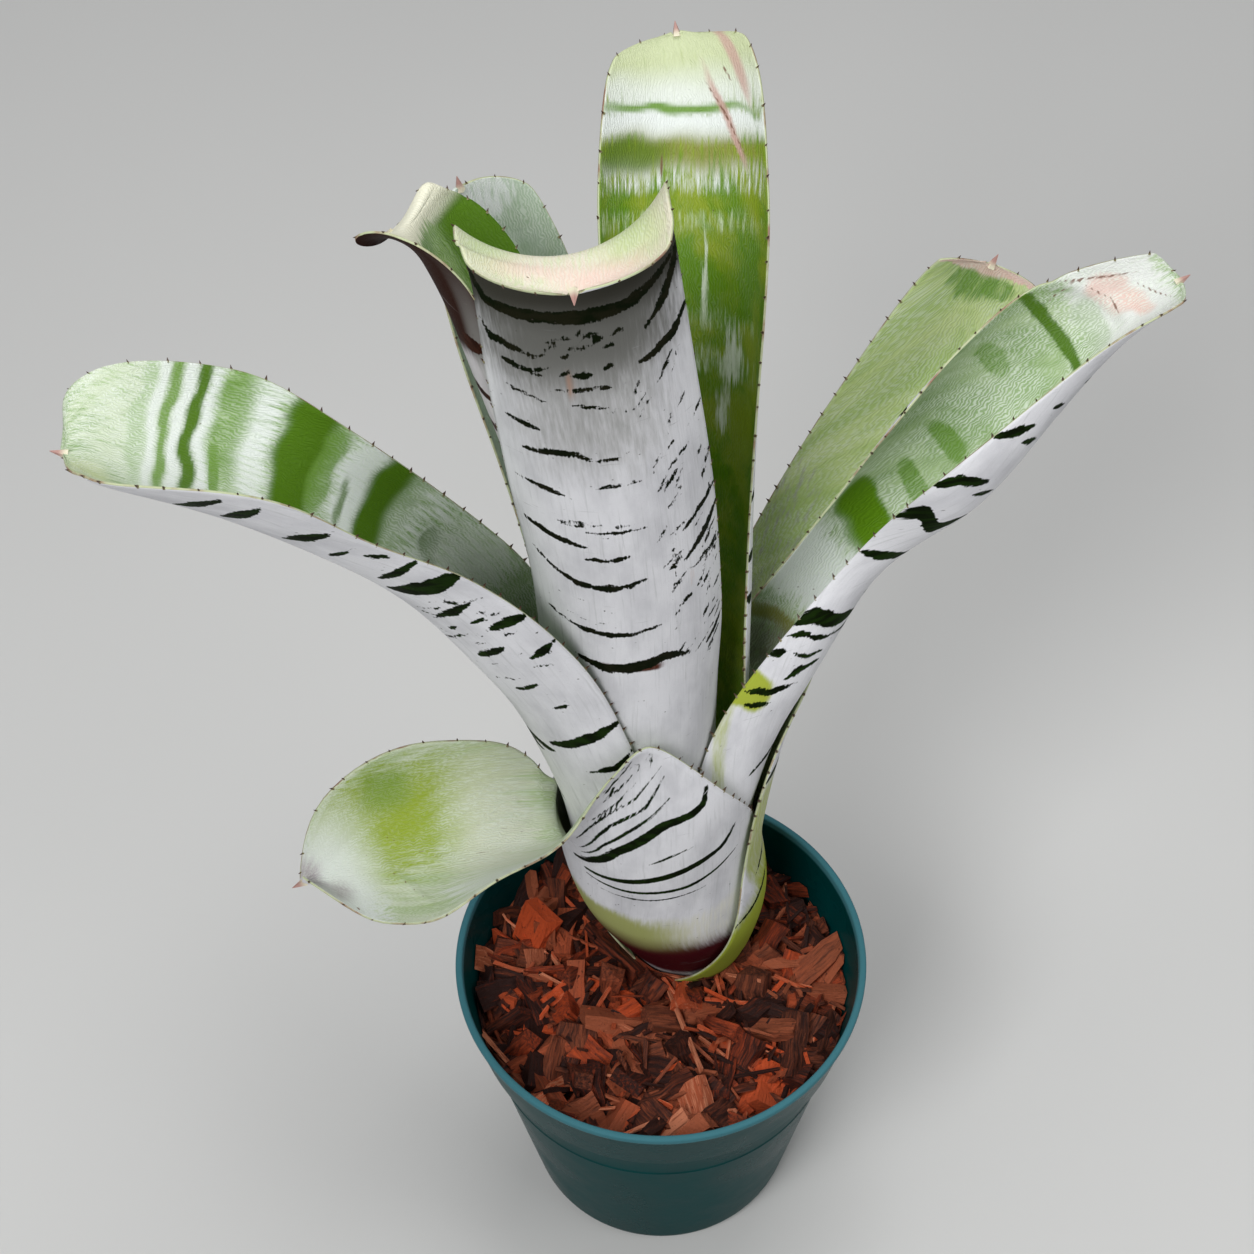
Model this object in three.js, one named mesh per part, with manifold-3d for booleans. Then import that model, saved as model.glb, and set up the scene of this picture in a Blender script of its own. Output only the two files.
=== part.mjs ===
// A tank bromeliad in its nursery pot: eight strap leaves rise from one bulb-shaped base,
// in bark chips. Millimetres, +Z up, the origin at the middle of the pot's underside.
import * as THREE from "three";
import { mergeVertices } from "three/addons/utils/BufferGeometryUtils.js";
import Module from "manifold-3d";

const wasm = await Module();
wasm.setup();

// Driving dimensions of the pot
const RIM_RADIUS = 79.5;
const POT_HEIGHT = 136;
const FOOT_RADIUS = 53;
const POT_WALL = 1.6;
const RIM_BEAD = 2.6;
// Height of the bead, how far the band lies inside it and its rounding
const RIM_HEIGHT = 3.4;
const BAND_INSET = 0.7;
const RIM_ROUND = 0.8;
const BAND_DEPTH = 30;
const FLOOR_THICKNESS = 2.4;
const DRAIN_HOLES = 8;
const DRAIN_RADIUS = 4;
const DRAIN_CIRCLE = 38;
const DRAIN_SIDES = 10;
const ROUND_SIDES = 48;
const FOOT_ROUND = 5;
const BAND_STEP = 2;

// Driving dimensions of the bark
const BARK_LEVEL = 113;
const BARK_RELIEF = 4;
const CHIP_COUNT = 70;
const CHIP_LONG = [12, 24];
const CHIP_WIDE = [7, 12];
const CHIP_THICK = [4, 7];
const CHIP_TILT = 0.9;
const CHIP_SEED = 7;
const HOLE_RADIUS = 27.4;
const HOLE_SIDES = 40;
const HOLE_BOTTOM = 99;

// The plant leans: its middle shifts sideways between the soil and the top of the bulb
const PLANT_X = -2;
const PLANT_Y = 25;
const BASE_SHIFT = 12;
const SHIFT_LOW = 105;
const SHIFT_HIGH = 200;

// Bulb of nested leaf bases: height and outer radius
const BULB = [[105, 17.5], [130, 27], [157, 35], [190, 37]];
const LAYER_PITCH = 1.8;
const LEAF_THICKNESS = 1;
const EDGE_THICKNESS = 0.7;
const GAP = 0.4;

// Stem under the leaves
const STEM_BOTTOM = 92.4;
const STEM_RADIUS = 8;
const STEM_SIDES = 24;
const SHOULDER_HEIGHT = 104.6;
const SHOULDER_RADIUS = 20.5;
const CORE_RADIUS = 3.2;
const CORE_TOP = 124;

// Spines along the leaf margins
const SPINE_LENGTH = 2.2;
const SPINE_BASE = 1.8;
const SPINE_STEP = 20;
const SPINE_ROOT = 2.2;
const SPINE_THICKNESS = 0.5;
const SPINE_LEAN = 0.4;
const SPINE_FREE_ROWS = 1;
const TIP_SPINE_LENGTH = 6;

// Colours of the plain materials
const POT_COLOUR = 0x1d5a66;
const BARK_COLOUR = 0x6b3a22;
const STEM_COLOUR = 0x7a6a3a;
const LEAF_COLOUR = 0xa9b5a2;

// Mesh fineness of a leaf
const ROWS_PER_STATION = 2;

// Each leaf: its direction round the plant in degrees, its layer in the bulb (0 is outermost),
// how far its base wraps round, and the stations of its blade from the bulb to the tip.
// A station is: out from the plant's middle, sideways, height, radius of the channel, wrap of
// the channel in degrees, roll in degrees, turn in degrees, raise of the left margin.
const LEAVES = [
  {
    name: "leaf_right_outer",
    azimuth: 30,
    layer: 0,
    spread: 2.7,
    across: 14,
    wraps: [350, 280, 225, 160],
    turns: [20, 35, 32, 15],
    raise: 0,
    free: [4, 6],
    apex: 0.99,
    blade: [
      [46, -1, 229, 37, 146, 0, 9.5, 0],
      [56, -4.5, 262, 27, 128, 18, 11, 0],
      [75.5, -3.5, 300, 25, 72, 4, 9.5, 30],
      [94.5, -5.5, 337, 29, 54, 22, 7.5, 32],
      [113, -3.5, 374, 38, 40, 45, 5, 24],
      [130, -2, 410, 49, 48, 65, 3, 0],
    ],
  },
  {
    name: "leaf_front_left_low",
    azimuth: 200,
    layer: 1,
    spread: 1.8,
    across: 18,
    wraps: [310, 310, 302, 275],
    turns: [0, 0, 1, 12.5],
    raise: 8,
    free: [5.5, 8],
    apex: 0.86,
    blade: [
      [38, 0.5, 207, 38, 198, 0, 13, 42],
      [40.5, -2, 213, 29, 150, -4, 15, 68],
      [41.5, 4, 216, 31, 92, -10, 9.5, 56],
      [43, 9, 218, 35, 72, -15, 3, 36],
      [50, 11, 220, 38, 88, -17, 0, 28],
      [69.5, 10, 225, 38, 118, -26, -1, 26],
      [96, 5.5, 230, 38, 126, -28, 1, 10],
      [119, 0, 235, 32, 112, -24, 4.5, 0],
      [136, -5.5, 238, 34, 36, -18, 8, 6],
    ],
  },
  {
    name: "leaf_right_long",
    azimuth: 2,
    layer: 2,
    spread: 0.4,
    across: 14,
    wraps: [300, 260, 220, 169],
    turns: [0, 8, 13, 18.5],
    raise: 0,
    free: [4, 6],
    apex: 0.99,
    blade: [
      [39, -0.5, 229, 33, 180, -1, 10.5, 0],
      [53, 6, 264, 21, 224, -8, 2.5, 0],
      [78, 2.5, 311, 11, 272, 1, 13, 17],
      [111.5, -2.5, 347, 18, 284, 11, 17, 11],
      [137.5, -3, 375, 18, 226, 5, 18.5, 6],
      [160.5, 3, 396, 18, 148, -5, 16.5, 3],
      [180, 15.5, 410, 17, 84, 2, 12.5, 0],
    ],
  },
  {
    name: "leaf_left_long",
    azimuth: 188,
    layer: 3,
    spread: 0,
    across: 14,
    wraps: [300, 260, 220, 178],
    turns: [2, 2, 7, 13],
    raise: 0,
    free: [4, 6],
    apex: 0.985,
    blade: [
      [37, -1, 230, 32, 180, 0, 13, 1],
      [49, -4.5, 274, 31, 170, 8, 10, 7],
      [65.5, -4.5, 311, 26, 192, 2, 7, 13],
      [85.5, -6.5, 346, 25, 184, 4, 6.5, 6],
      [110.5, -5, 376, 28, 168, 4, 4.5, 0],
      [138, -3, 399, 38, 138, 8, 3, 5],
      [169, -2, 418, 41, 96, 6, 1.5, 3],
      [178.5, 10.5, 422, 47, 36, 19, -2.5, 0],
    ],
  },
  {
    name: "leaf_front",
    azimuth: 270,
    layer: 4,
    spread: 0,
    across: 12,
    wraps: [230, 224, 200, 172],
    turns: [-5, -6, -10, -14],
    raise: 0,
    free: [4, 6],
    apex: 0.945,
    blade: [
      [31, -4.5, 230, 28, 172, 0, -10.5, 0],
      [28, -8, 285, 30, 164, 0, -1.5, 0],
      [28, -9, 340, 34, 130, 0, 0, 0],
      [30, -13, 395, 38, 112, 2, 1.5, 0],
      [29, -17.5, 446, 38, 108, 6, 0, 2],
      [26, -21, 483, 38, 102, 7, 0, 3],
      [28, -22.5, 501, 38, 104, 12, 0, 0],
      [36, -22, 504, 40, 94, 6, 0, -1],
      [44.5, -21.5, 503, 42, 72, 4, 0, 1],
    ],
  },
  {
    name: "leaf_back_left",
    azimuth: 138,
    layer: 5,
    spread: 0,
    across: 10,
    wraps: [200, 185, 170, 142],
    turns: [2, 4.5, 7, 13],
    raise: 0,
    free: [4, 6],
    apex: 0.93,
    blade: [
      [31, -0.5, 235, 29, 120, 0, 17, 0],
      [42, -3, 300, 29, 115, 0, 4.5, 0],
      [57, -3, 352, 30, 122, 0, 0, 0],
      [74, -4, 402, 32, 112, 0, 0, 0],
      [82, -4, 432, 32, 95, 0, 0, 0],
      [86, -4, 450, 32, 70, 0, 0, 0],
    ],
  },
  {
    name: "leaf_left_recurved",
    azimuth: 165,
    layer: 6,
    spread: 0,
    across: 12,
    wraps: [210, 185, 162, 140],
    turns: [0, 7.5, 16, 25],
    raise: 0,
    free: [4, 6],
    apex: 0.93,
    blade: [
      [27, -1, 235, 25, 140, 0, 27, 0],
      [31, -3.5, 290, 24, 142, 0, 26, 0],
      [37, -4, 340, 25, 142, 0, 24, 0],
      [46.5, -3, 390, 28, 140, 0, 13, 0],
      [60, 3, 435, 31, 128, 12, 0, 0],
      [70, 2, 460, 33, 108, 22, 0, 0],
      [76, 1, 469, 34, 80, 20, 0, 0],
      [81, 1, 466, 34, 56, 16, 0, 0],
    ],
  },
  {
    name: "leaf_back_tall",
    azimuth: 90,
    layer: 7,
    spread: 0,
    across: 12,
    wraps: [240, 233, 224, 213],
    turns: [0, 1.5, 4, 8.5],
    raise: 0,
    free: [4, 6],
    apex: 0.95,
    blade: [
      [28.5, -6.5, 240, 26, 217, 0, 6.5, 0],
      [34, -8, 300, 25, 225, 0, 0.5, 0],
      [44, -9, 350, 24, 215, 0, 0, 0],
      [62, -9, 400, 26, 175, 0, 0, 0],
      [84, -9, 432, 30, 130, 0, 0, 0],
      [104, -9, 456, 32, 100, 0, 0, 0],
      [116, -7, 466, 34, 62, 0, 0, 0],
    ],
  },
];

// Small repeatable random numbers for the chips
function randomSource(seed) {
  let state = seed;
  return () => {
    state = (state * 1103515245 + 12345) % 2147483648;
    return state / 2147483648;
  };
}

function smoothStep(low, high, value) {
  const t = Math.min(Math.max((value - low) / (high - low), 0), 1);
  return t * t * (3 - 2 * t);
}

// Value of a smooth curve through evenly spaced stations, column by column
function through(stations, t) {
  const last = stations.length - 1;
  const place = Math.min(Math.max(t, 0), 1) * last;
  const i = Math.min(Math.floor(place), last - 1);
  const f = place - i;
  const p1 = stations[i];
  const p2 = stations[i + 1];
  const p0 = i > 0 ? stations[i - 1] : p1.map((v, k) => 2 * v - p2[k]);
  const p3 = i < last - 1 ? stations[i + 2] : p2.map((v, k) => 2 * v - p1[k]);
  return p1.map((v, k) => {
    const a = p2[k] - p0[k];
    const b = 2 * p0[k] - 5 * v + 4 * p2[k] - p3[k];
    const c = 3 * v - p0[k] - 3 * p2[k] + p3[k];
    return 0.5 * (2 * v + a * f + b * f * f + c * f * f * f);
  });
}

// The solid of a closed geometry, its shared vertices merged
function toSolid(geometry) {
  const bare = new THREE.BufferGeometry();
  bare.setAttribute("position", geometry.getAttribute("position"));
  if (geometry.index) bare.setIndex(geometry.index);
  const merged = mergeVertices(bare, 1e-4);
  return new wasm.Manifold(
    new wasm.Mesh({
      numProp: 3,
      vertProperties: new Float32Array(merged.attributes.position.array),
      triVerts: new Uint32Array(merged.index.array),
    }),
  );
}

// The biggest closed body, without specks or sealed hollows
function largestBody(solid) {
  const bodies = solid.decompose();
  return bodies.reduce((a, b) => (b.volume() > a.volume() ? b : a));
}

function toGeometry(solid) {
  const mesh = solid.getMesh();
  const geometry = new THREE.BufferGeometry();
  const count = mesh.numProp;
  const places = new Float32Array(mesh.numVert * 3);
  for (let i = 0; i < mesh.numVert; i++) {
    places.set(mesh.vertProperties.subarray(i * count, i * count + 3), i * 3);
  }
  geometry.setAttribute("position", new THREE.BufferAttribute(places, 3));
  geometry.setIndex(new THREE.BufferAttribute(new Uint32Array(mesh.triVerts), 1));
  return geometry;
}

// Middle of the plant at a height
function plantMiddle(height) {
  const shift = BASE_SHIFT * (1 - smoothStep(SHIFT_LOW, SHIFT_HIGH, height));
  return new THREE.Vector3(PLANT_X + shift, PLANT_Y, 0);
}

// All stations of a leaf: its share of the bulb, then its blade
function leafStations(leaf) {
  const sheath = BULB.map(([height, radius], i) => {
    const own = radius - leaf.layer * LAYER_PITCH + leaf.spread;
    const raise = i === BULB.length - 1 ? leaf.raise : 0;
    return [own, 0, height, own, leaf.wraps[i], 0, leaf.turns[i], raise];
  });
  return [...sheath, ...leaf.blade];
}

function midribPoint(leaf, station) {
  const [out, side, height, , , , turn] = station;
  const angle = THREE.MathUtils.degToRad(leaf.azimuth + turn);
  const outward = new THREE.Vector3(Math.cos(angle), Math.sin(angle), 0);
  const left = new THREE.Vector3(-Math.sin(angle), Math.cos(angle), 0);
  const point = plantMiddle(height)
    .addScaledVector(outward, out)
    .addScaledVector(left, side)
    .add(new THREE.Vector3(0, 0, height));
  return { point, outward, left };
}

// Axes of the leaf's cross section at t from 0 at the base to 1 at the tip
function sectionAt(leaf, stations, t) {
  const step = 2e-3;
  const station = through(stations, t);
  const here = midribPoint(leaf, station);
  const before = midribPoint(leaf, through(stations, Math.max(t - step, 0)));
  const after = midribPoint(leaf, through(stations, Math.min(t + step, 1)));
  const along = after.point.clone().sub(before.point).normalize();
  const across = here.left.clone().addScaledVector(along, -along.dot(here.left)).normalize();
  const inward = along.clone().cross(across);
  const roll = THREE.MathUtils.degToRad(station[5]);
  const rolledAcross = across.clone().multiplyScalar(Math.cos(roll));
  rolledAcross.addScaledVector(inward, Math.sin(roll));
  const rolledInward = inward.clone().multiplyScalar(Math.cos(roll));
  rolledInward.addScaledVector(across, -Math.sin(roll));
  const last = stations.length - 1;
  const blend = smoothStep(leaf.free[0] / last, leaf.free[1] / last, t);
  const b = here.left.clone().multiplyScalar(1 - blend).addScaledVector(rolledAcross, blend);
  b.normalize();
  const n = here.outward.clone().multiplyScalar(blend - 1).addScaledVector(rolledInward, blend);
  n.addScaledVector(b, -n.dot(b)).normalize();
  return { station, middle: here.point, across: b, inward: n };
}

// Share of the full width that is left near the rounded tip
function tipShare(leaf, t) {
  const BLUNT = 0.3;
  if (t <= leaf.apex) return 1;
  const x = (t - leaf.apex) / (1 - leaf.apex);
  return Math.sqrt(1 - (1 - BLUNT * BLUNT) * x * x);
}

// A point of the leaf: u runs from -1 at the right margin to 1 at the left, depth 0 is the
// outer face and 1 the inner face
function leafPoint(leaf, section, t, u, depth) {
  const [, , , radius, wrap, , , raise] = section.station;
  const angle = (THREE.MathUtils.degToRad(wrap) / 2) * tipShare(leaf, t) * u;
  const thick = THREE.MathUtils.lerp(LEAF_THICKNESS, EDGE_THICKNESS, u * u * u * u);
  const r = radius - depth * thick;
  const up = Math.max(u, 0);
  return section.middle
    .clone()
    .addScaledVector(section.across, Math.sin(angle) * r)
    .addScaledVector(section.inward, radius - Math.cos(angle) * r)
    .add(new THREE.Vector3(0, 0, raise * up * up * (2 - up)));
}

// Points of both faces of a leaf, by depth, row and column
function leafGrid(leaf) {
  const stations = leafStations(leaf);
  const rows = (stations.length - 1) * ROWS_PER_STATION;
  const columns = leaf.across;
  const faces = [0, 1].map((depth) => {
    const face = [];
    for (let i = 0; i <= rows; i++) {
      const t = i / rows;
      const section = sectionAt(leaf, stations, t);
      const line = [];
      for (let j = 0; j <= columns; j++) {
        line.push(leafPoint(leaf, section, t, (2 * j) / columns - 1, depth));
      }
      face.push(line);
    }
    return face;
  });
  return { faces, rows, columns };
}

// The closed blade, with the same triangles on both faces
function bladeSolid({ faces, rows, columns }) {
  const points = faces.flat(2).flatMap((p) => [p.x, p.y, p.z]);
  const index = [];
  const at = (depth, i, j) => (depth * (rows + 1) + i) * (columns + 1) + j;
  const quad = (a, b, c, d) => index.push(a, b, c, a, c, d);
  for (let i = 0; i < rows; i++) {
    for (let j = 0; j < columns; j++) {
      quad(at(0, i, j), at(0, i, j + 1), at(0, i + 1, j + 1), at(0, i + 1, j));
      quad(at(1, i + 1, j + 1), at(1, i, j + 1), at(1, i, j), at(1, i + 1, j));
    }
    quad(at(0, i, 0), at(0, i + 1, 0), at(1, i + 1, 0), at(1, i, 0));
    quad(at(0, i, columns), at(1, i, columns), at(1, i + 1, columns), at(0, i + 1, columns));
  }
  for (let j = 0; j < columns; j++) {
    quad(at(0, 0, j), at(1, 0, j), at(1, 0, j + 1), at(0, 0, j + 1));
    quad(at(0, rows, j), at(0, rows, j + 1), at(1, rows, j + 1), at(1, rows, j));
  }
  const geometry = new THREE.BufferGeometry();
  geometry.setAttribute("position", new THREE.Float32BufferAttribute(points, 3));
  geometry.setIndex(index);
  return toSolid(geometry);
}

// A three-sided spine whose root is sunk in the leaf and whose point leans toward the tip
function spineSolid(root, point, alongEdge, face, base) {
  const width = alongEdge.clone().multiplyScalar(base / 2);
  const height = face.clone().multiplyScalar(SPINE_THICKNESS / 2);
  const corners = [
    root.clone().sub(width),
    root.clone().add(width).sub(height),
    root.clone().add(width).add(height),
    point,
  ];
  const geometry = new THREE.BufferGeometry();
  const flat = corners.flatMap((c) => [c.x, c.y, c.z]);
  geometry.setAttribute("position", new THREE.Float32BufferAttribute(flat, 3));
  geometry.setIndex([0, 1, 2, 0, 3, 1, 1, 3, 2, 2, 3, 0]);
  const solid = toSolid(geometry);
  if (solid.volume() > 0) return solid;
  geometry.setIndex([0, 2, 1, 0, 1, 3, 1, 2, 3, 2, 0, 3]);
  return toSolid(geometry);
}

// Spines along both margins above the bulb, and one at the tip
function leafSpines({ faces, rows, columns }) {
  const middle = (i, j) => faces[0][i][j].clone().lerp(faces[1][i][j], 0.5);
  const spines = [];
  const firstRow = (BULB.length - 1) * ROWS_PER_STATION + SPINE_FREE_ROWS;
  for (const [edgeColumn, nextColumn] of [[0, 1], [columns, columns - 1]]) {
    let travelled = SPINE_STEP / 2;
    for (let i = firstRow; i < rows; i++) {
      const from = middle(i, edgeColumn);
      const to = middle(i + 1, edgeColumn);
      const length = from.distanceTo(to);
      while (travelled <= length) {
        const share = travelled / length;
        const edge = from.clone().lerp(to, share);
        const inside = middle(i, nextColumn).lerp(middle(i + 1, nextColumn), share);
        const alongEdge = to.clone().sub(from).normalize();
        const outward = edge.clone().sub(inside);
        outward.addScaledVector(alongEdge, -outward.dot(alongEdge)).normalize();
        const face = outward.clone().cross(alongEdge);
        const root = edge.clone().addScaledVector(edge.clone().sub(inside).normalize(), -SPINE_ROOT);
        const point = edge.clone().addScaledVector(outward, SPINE_LENGTH);
        point.addScaledVector(alongEdge, SPINE_LENGTH * SPINE_LEAN);
        spines.push(spineSolid(root, point, alongEdge, face, SPINE_BASE));
        travelled += SPINE_STEP;
      }
      travelled -= length;
    }
  }
  const tip = middle(rows, columns / 2);
  const along = tip.clone().sub(middle(rows - 1, columns / 2)).normalize();
  const across = middle(rows, columns).sub(middle(rows, 0)).normalize();
  const face = along.clone().cross(across).normalize();
  const root = tip.clone().addScaledVector(along, -SPINE_ROOT);
  const point = tip.clone().addScaledVector(along, TIP_SPINE_LENGTH);
  spines.push(spineSolid(root, point, across, face, SPINE_BASE * 2));
  return spines;
}

function leafSolid(leaf) {
  const grid = leafGrid(leaf);
  return [bladeSolid(grid), ...leafSpines(grid)].reduce((a, b) => a.add(b));
}

// A closed turned shape about the z axis, from points of radius and height
function turned(profile, sides) {
  const points = profile.map(([radius, height]) => new THREE.Vector2(radius, height));
  return toSolid(new THREE.LatheGeometry(points, sides).rotateX(Math.PI / 2));
}

// A plain upright cylinder between two heights
function post(radius, bottom, top, x, y, sides) {
  const cylinder = new THREE.CylinderGeometry(radius, radius, top - bottom, sides);
  cylinder.rotateX(Math.PI / 2);
  cylinder.translate(x, y, (bottom + top) / 2);
  return toSolid(cylinder);
}

// Outer radius of the tapered pot wall at a height
function wallRadius(height) {
  const taper = (RIM_RADIUS - RIM_BEAD - FOOT_RADIUS) / POT_HEIGHT;
  return FOOT_RADIUS + taper * height;
}

// Inside of the pot from the middle of its floor up to the bead, drawn in by a gap
function cavityProfile(gap) {
  const bandBottom = POT_HEIGHT - BAND_DEPTH;
  const inset = POT_WALL + gap;
  return [
    [0, FLOOR_THICKNESS + gap],
    [wallRadius(0) - FOOT_ROUND - inset, FLOOR_THICKNESS + gap],
    [wallRadius(FOOT_ROUND) - inset, FLOOR_THICKNESS + FOOT_ROUND + gap],
    [wallRadius(bandBottom) - inset, bandBottom - 1],
    [wallRadius(bandBottom) + BAND_STEP - inset, bandBottom + 2],
    [RIM_RADIUS - RIM_BEAD - gap, POT_HEIGHT - RIM_ROUND],
  ];
}

function potSolid() {
  const bandBottom = POT_HEIGHT - BAND_DEPTH;
  const outside = [
    [0, 0],
    [FOOT_RADIUS - FOOT_ROUND, 0],
    [FOOT_RADIUS - FOOT_ROUND * 0.3, FOOT_ROUND * 0.3],
    [wallRadius(FOOT_ROUND), FOOT_ROUND],
    [wallRadius(bandBottom), bandBottom],
    [wallRadius(bandBottom) + BAND_STEP, bandBottom + 1],
    [RIM_RADIUS - BAND_INSET, POT_HEIGHT - RIM_HEIGHT],
    [RIM_RADIUS, POT_HEIGHT - RIM_HEIGHT + BAND_INSET],
    [RIM_RADIUS, POT_HEIGHT - RIM_ROUND],
    [RIM_RADIUS - RIM_ROUND, POT_HEIGHT],
    [RIM_RADIUS - RIM_BEAD + RIM_ROUND, POT_HEIGHT],
  ];
  let pot = turned([...outside, ...cavityProfile(0).reverse()], ROUND_SIDES);
  for (let i = 0; i < DRAIN_HOLES; i++) {
    const angle = (2 * Math.PI * i) / DRAIN_HOLES;
    const x = DRAIN_CIRCLE * Math.cos(angle);
    const y = DRAIN_CIRCLE * Math.sin(angle);
    pot = pot.subtract(post(DRAIN_RADIUS, -1, FLOOR_THICKNESS + 1, x, y, DRAIN_SIDES));
  }
  return pot;
}

// One bark chip: a block with its long edges broken unevenly
function chipSolid(random, x, y, level) {
  const between = ([low, high]) => low + (high - low) * random();
  const chip = new THREE.BoxGeometry(between(CHIP_LONG), between(CHIP_WIDE), between(CHIP_THICK));
  const places = chip.attributes.position;
  const nudges = new Map();
  for (let i = 0; i < places.count; i++) {
    const key = [places.getX(i) > 0, places.getY(i) > 0, places.getZ(i) > 0].join();
    if (!nudges.has(key)) {
      nudges.set(key, [0.7 + 0.3 * random(), 0.55 + 0.45 * random(), 0.7 + 0.3 * random()]);
    }
    const [a, b, c] = nudges.get(key);
    places.setXYZ(i, places.getX(i) * a, places.getY(i) * b, places.getZ(i) * c);
  }
  chip.rotateX((random() - 0.5) * CHIP_TILT);
  chip.rotateY((random() - 0.5) * CHIP_TILT);
  chip.rotateZ(random() * Math.PI);
  chip.translate(x, y, level + (random() - 0.35) * BARK_RELIEF);
  return toSolid(chip);
}

// The pot's filling: solid bark with a broken top and a plain hole for the plant
function barkSolid() {
  const random = randomSource(CHIP_SEED);
  const cavity = cavityProfile(GAP);
  const level = BARK_LEVEL;
  const below = cavity.filter(([, height]) => height < level);
  const surfaceRadius = below[below.length - 1][0] + 0.5;
  let bark = turned([...below, [surfaceRadius, level], [0, level]], ROUND_SIDES);
  const golden = Math.PI * (3 - Math.sqrt(5));
  for (let i = 0; i < CHIP_COUNT; i++) {
    const reach = surfaceRadius * Math.sqrt((i + 0.5) / CHIP_COUNT);
    const x = reach * Math.cos(i * golden);
    const y = reach * Math.sin(i * golden);
    const fromPlant = Math.hypot(x - (PLANT_X + BASE_SHIFT), y - PLANT_Y);
    const chip = chipSolid(random, x, y, level);
    if (fromPlant > HOLE_RADIUS) bark = bark.add(chip);
  }
  const envelope = turned([...cavity, [0, POT_HEIGHT - RIM_ROUND]], ROUND_SIDES);
  const holeX = PLANT_X + BASE_SHIFT;
  const filling = bark
    .intersect(envelope)
    .subtract(post(HOLE_RADIUS, HOLE_BOTTOM, POT_HEIGHT, holeX, PLANT_Y, HOLE_SIDES))
    .subtract(post(STEM_RADIUS + GAP, STEM_BOTTOM - GAP, level, holeX, PLANT_Y, STEM_SIDES));
  return largestBody(filling);
}

// The short woody stem under the leaves, with a slim core between their bases
function stemSolid() {
  const stem = turned(
    [
      [0, STEM_BOTTOM],
      [STEM_RADIUS - 2, STEM_BOTTOM],
      [STEM_RADIUS, STEM_BOTTOM + 2],
      [STEM_RADIUS, SHOULDER_HEIGHT - 4],
      [SHOULDER_RADIUS, SHOULDER_HEIGHT - 1.5],
      [SHOULDER_RADIUS, SHOULDER_HEIGHT],
      [CORE_RADIUS, SHOULDER_HEIGHT],
      [CORE_RADIUS, CORE_TOP - 3],
      [0, CORE_TOP],
    ],
    STEM_SIDES,
  );
  return stem.translate([PLANT_X + BASE_SHIFT, PLANT_Y, 0]);
}

const group = new THREE.Group();
group.name = "plant_in_pot";

function addNode(name, solid, colour, roughness) {
  const material = new THREE.MeshStandardMaterial({ color: colour, roughness, metalness: 0 });
  const mesh = new THREE.Mesh(toGeometry(solid), material);
  mesh.name = name;
  group.add(mesh);
}

addNode("pot", potSolid(), POT_COLOUR, 0.45);
addNode("bark_mulch", barkSolid(), BARK_COLOUR, 0.95);
addNode("stem_base", stemSolid(), STEM_COLOUR, 0.8);
for (const leaf of LEAVES) {
  addNode(leaf.name, leafSolid(leaf), LEAF_COLOUR, 0.5);
}

export default group;
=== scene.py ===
"""A tank bromeliad in its nursery pot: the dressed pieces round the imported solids.

Sizes are in millimetres and degrees, as in the part's source, and every mesh is made in metres.
"""

import logging
import math
import random
from dataclasses import dataclass, field
from enum import Enum

import bmesh
import bpy
import numpy as np
from mathutils import Matrix, Vector, noise

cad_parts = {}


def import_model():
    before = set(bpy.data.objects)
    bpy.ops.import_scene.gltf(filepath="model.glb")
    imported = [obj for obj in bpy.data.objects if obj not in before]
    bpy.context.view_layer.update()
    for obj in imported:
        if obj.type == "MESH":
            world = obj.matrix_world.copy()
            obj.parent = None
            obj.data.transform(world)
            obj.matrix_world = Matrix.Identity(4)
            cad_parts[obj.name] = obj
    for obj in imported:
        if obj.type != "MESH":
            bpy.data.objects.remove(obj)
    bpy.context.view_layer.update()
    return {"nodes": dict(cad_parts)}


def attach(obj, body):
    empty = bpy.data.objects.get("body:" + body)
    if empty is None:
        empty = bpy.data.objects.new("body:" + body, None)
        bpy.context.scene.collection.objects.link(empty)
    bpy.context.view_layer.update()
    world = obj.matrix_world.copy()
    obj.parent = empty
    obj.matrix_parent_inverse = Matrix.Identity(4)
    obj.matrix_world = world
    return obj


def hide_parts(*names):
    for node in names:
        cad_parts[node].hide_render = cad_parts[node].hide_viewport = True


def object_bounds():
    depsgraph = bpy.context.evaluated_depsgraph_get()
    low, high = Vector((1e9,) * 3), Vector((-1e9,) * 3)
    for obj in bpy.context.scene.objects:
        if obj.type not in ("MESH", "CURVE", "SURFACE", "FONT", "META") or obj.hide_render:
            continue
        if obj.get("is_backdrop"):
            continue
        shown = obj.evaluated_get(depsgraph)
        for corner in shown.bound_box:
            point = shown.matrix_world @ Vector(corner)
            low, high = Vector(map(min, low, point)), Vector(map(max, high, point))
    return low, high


MM = 0.001  # metres in a millimetre
TINY = 1e-6  # keeps a length or a share off zero
LOG = logging.getLogger("bromeliad")
Colour = tuple[float, float, float]
Triple = tuple[float, float, float]
Spot = tuple[float, float]
Marking = tuple[str, str, np.ndarray]
Socket = bpy.types.NodeSocket


def smooth_step(low: float, high: float, value: np.ndarray) -> np.ndarray:
    """Rise smoothly from 0 at low to 1 at high."""
    share = np.clip((value - low) / (high - low), 0.0, 1.0)
    return share * share * (3.0 - 2.0 * share)


def unit(vector: np.ndarray) -> np.ndarray:
    """Give a direction the length 1."""
    return vector / np.linalg.norm(vector)


# ---------------------------------------------------------------------------
# Finishes
# ---------------------------------------------------------------------------


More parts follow.
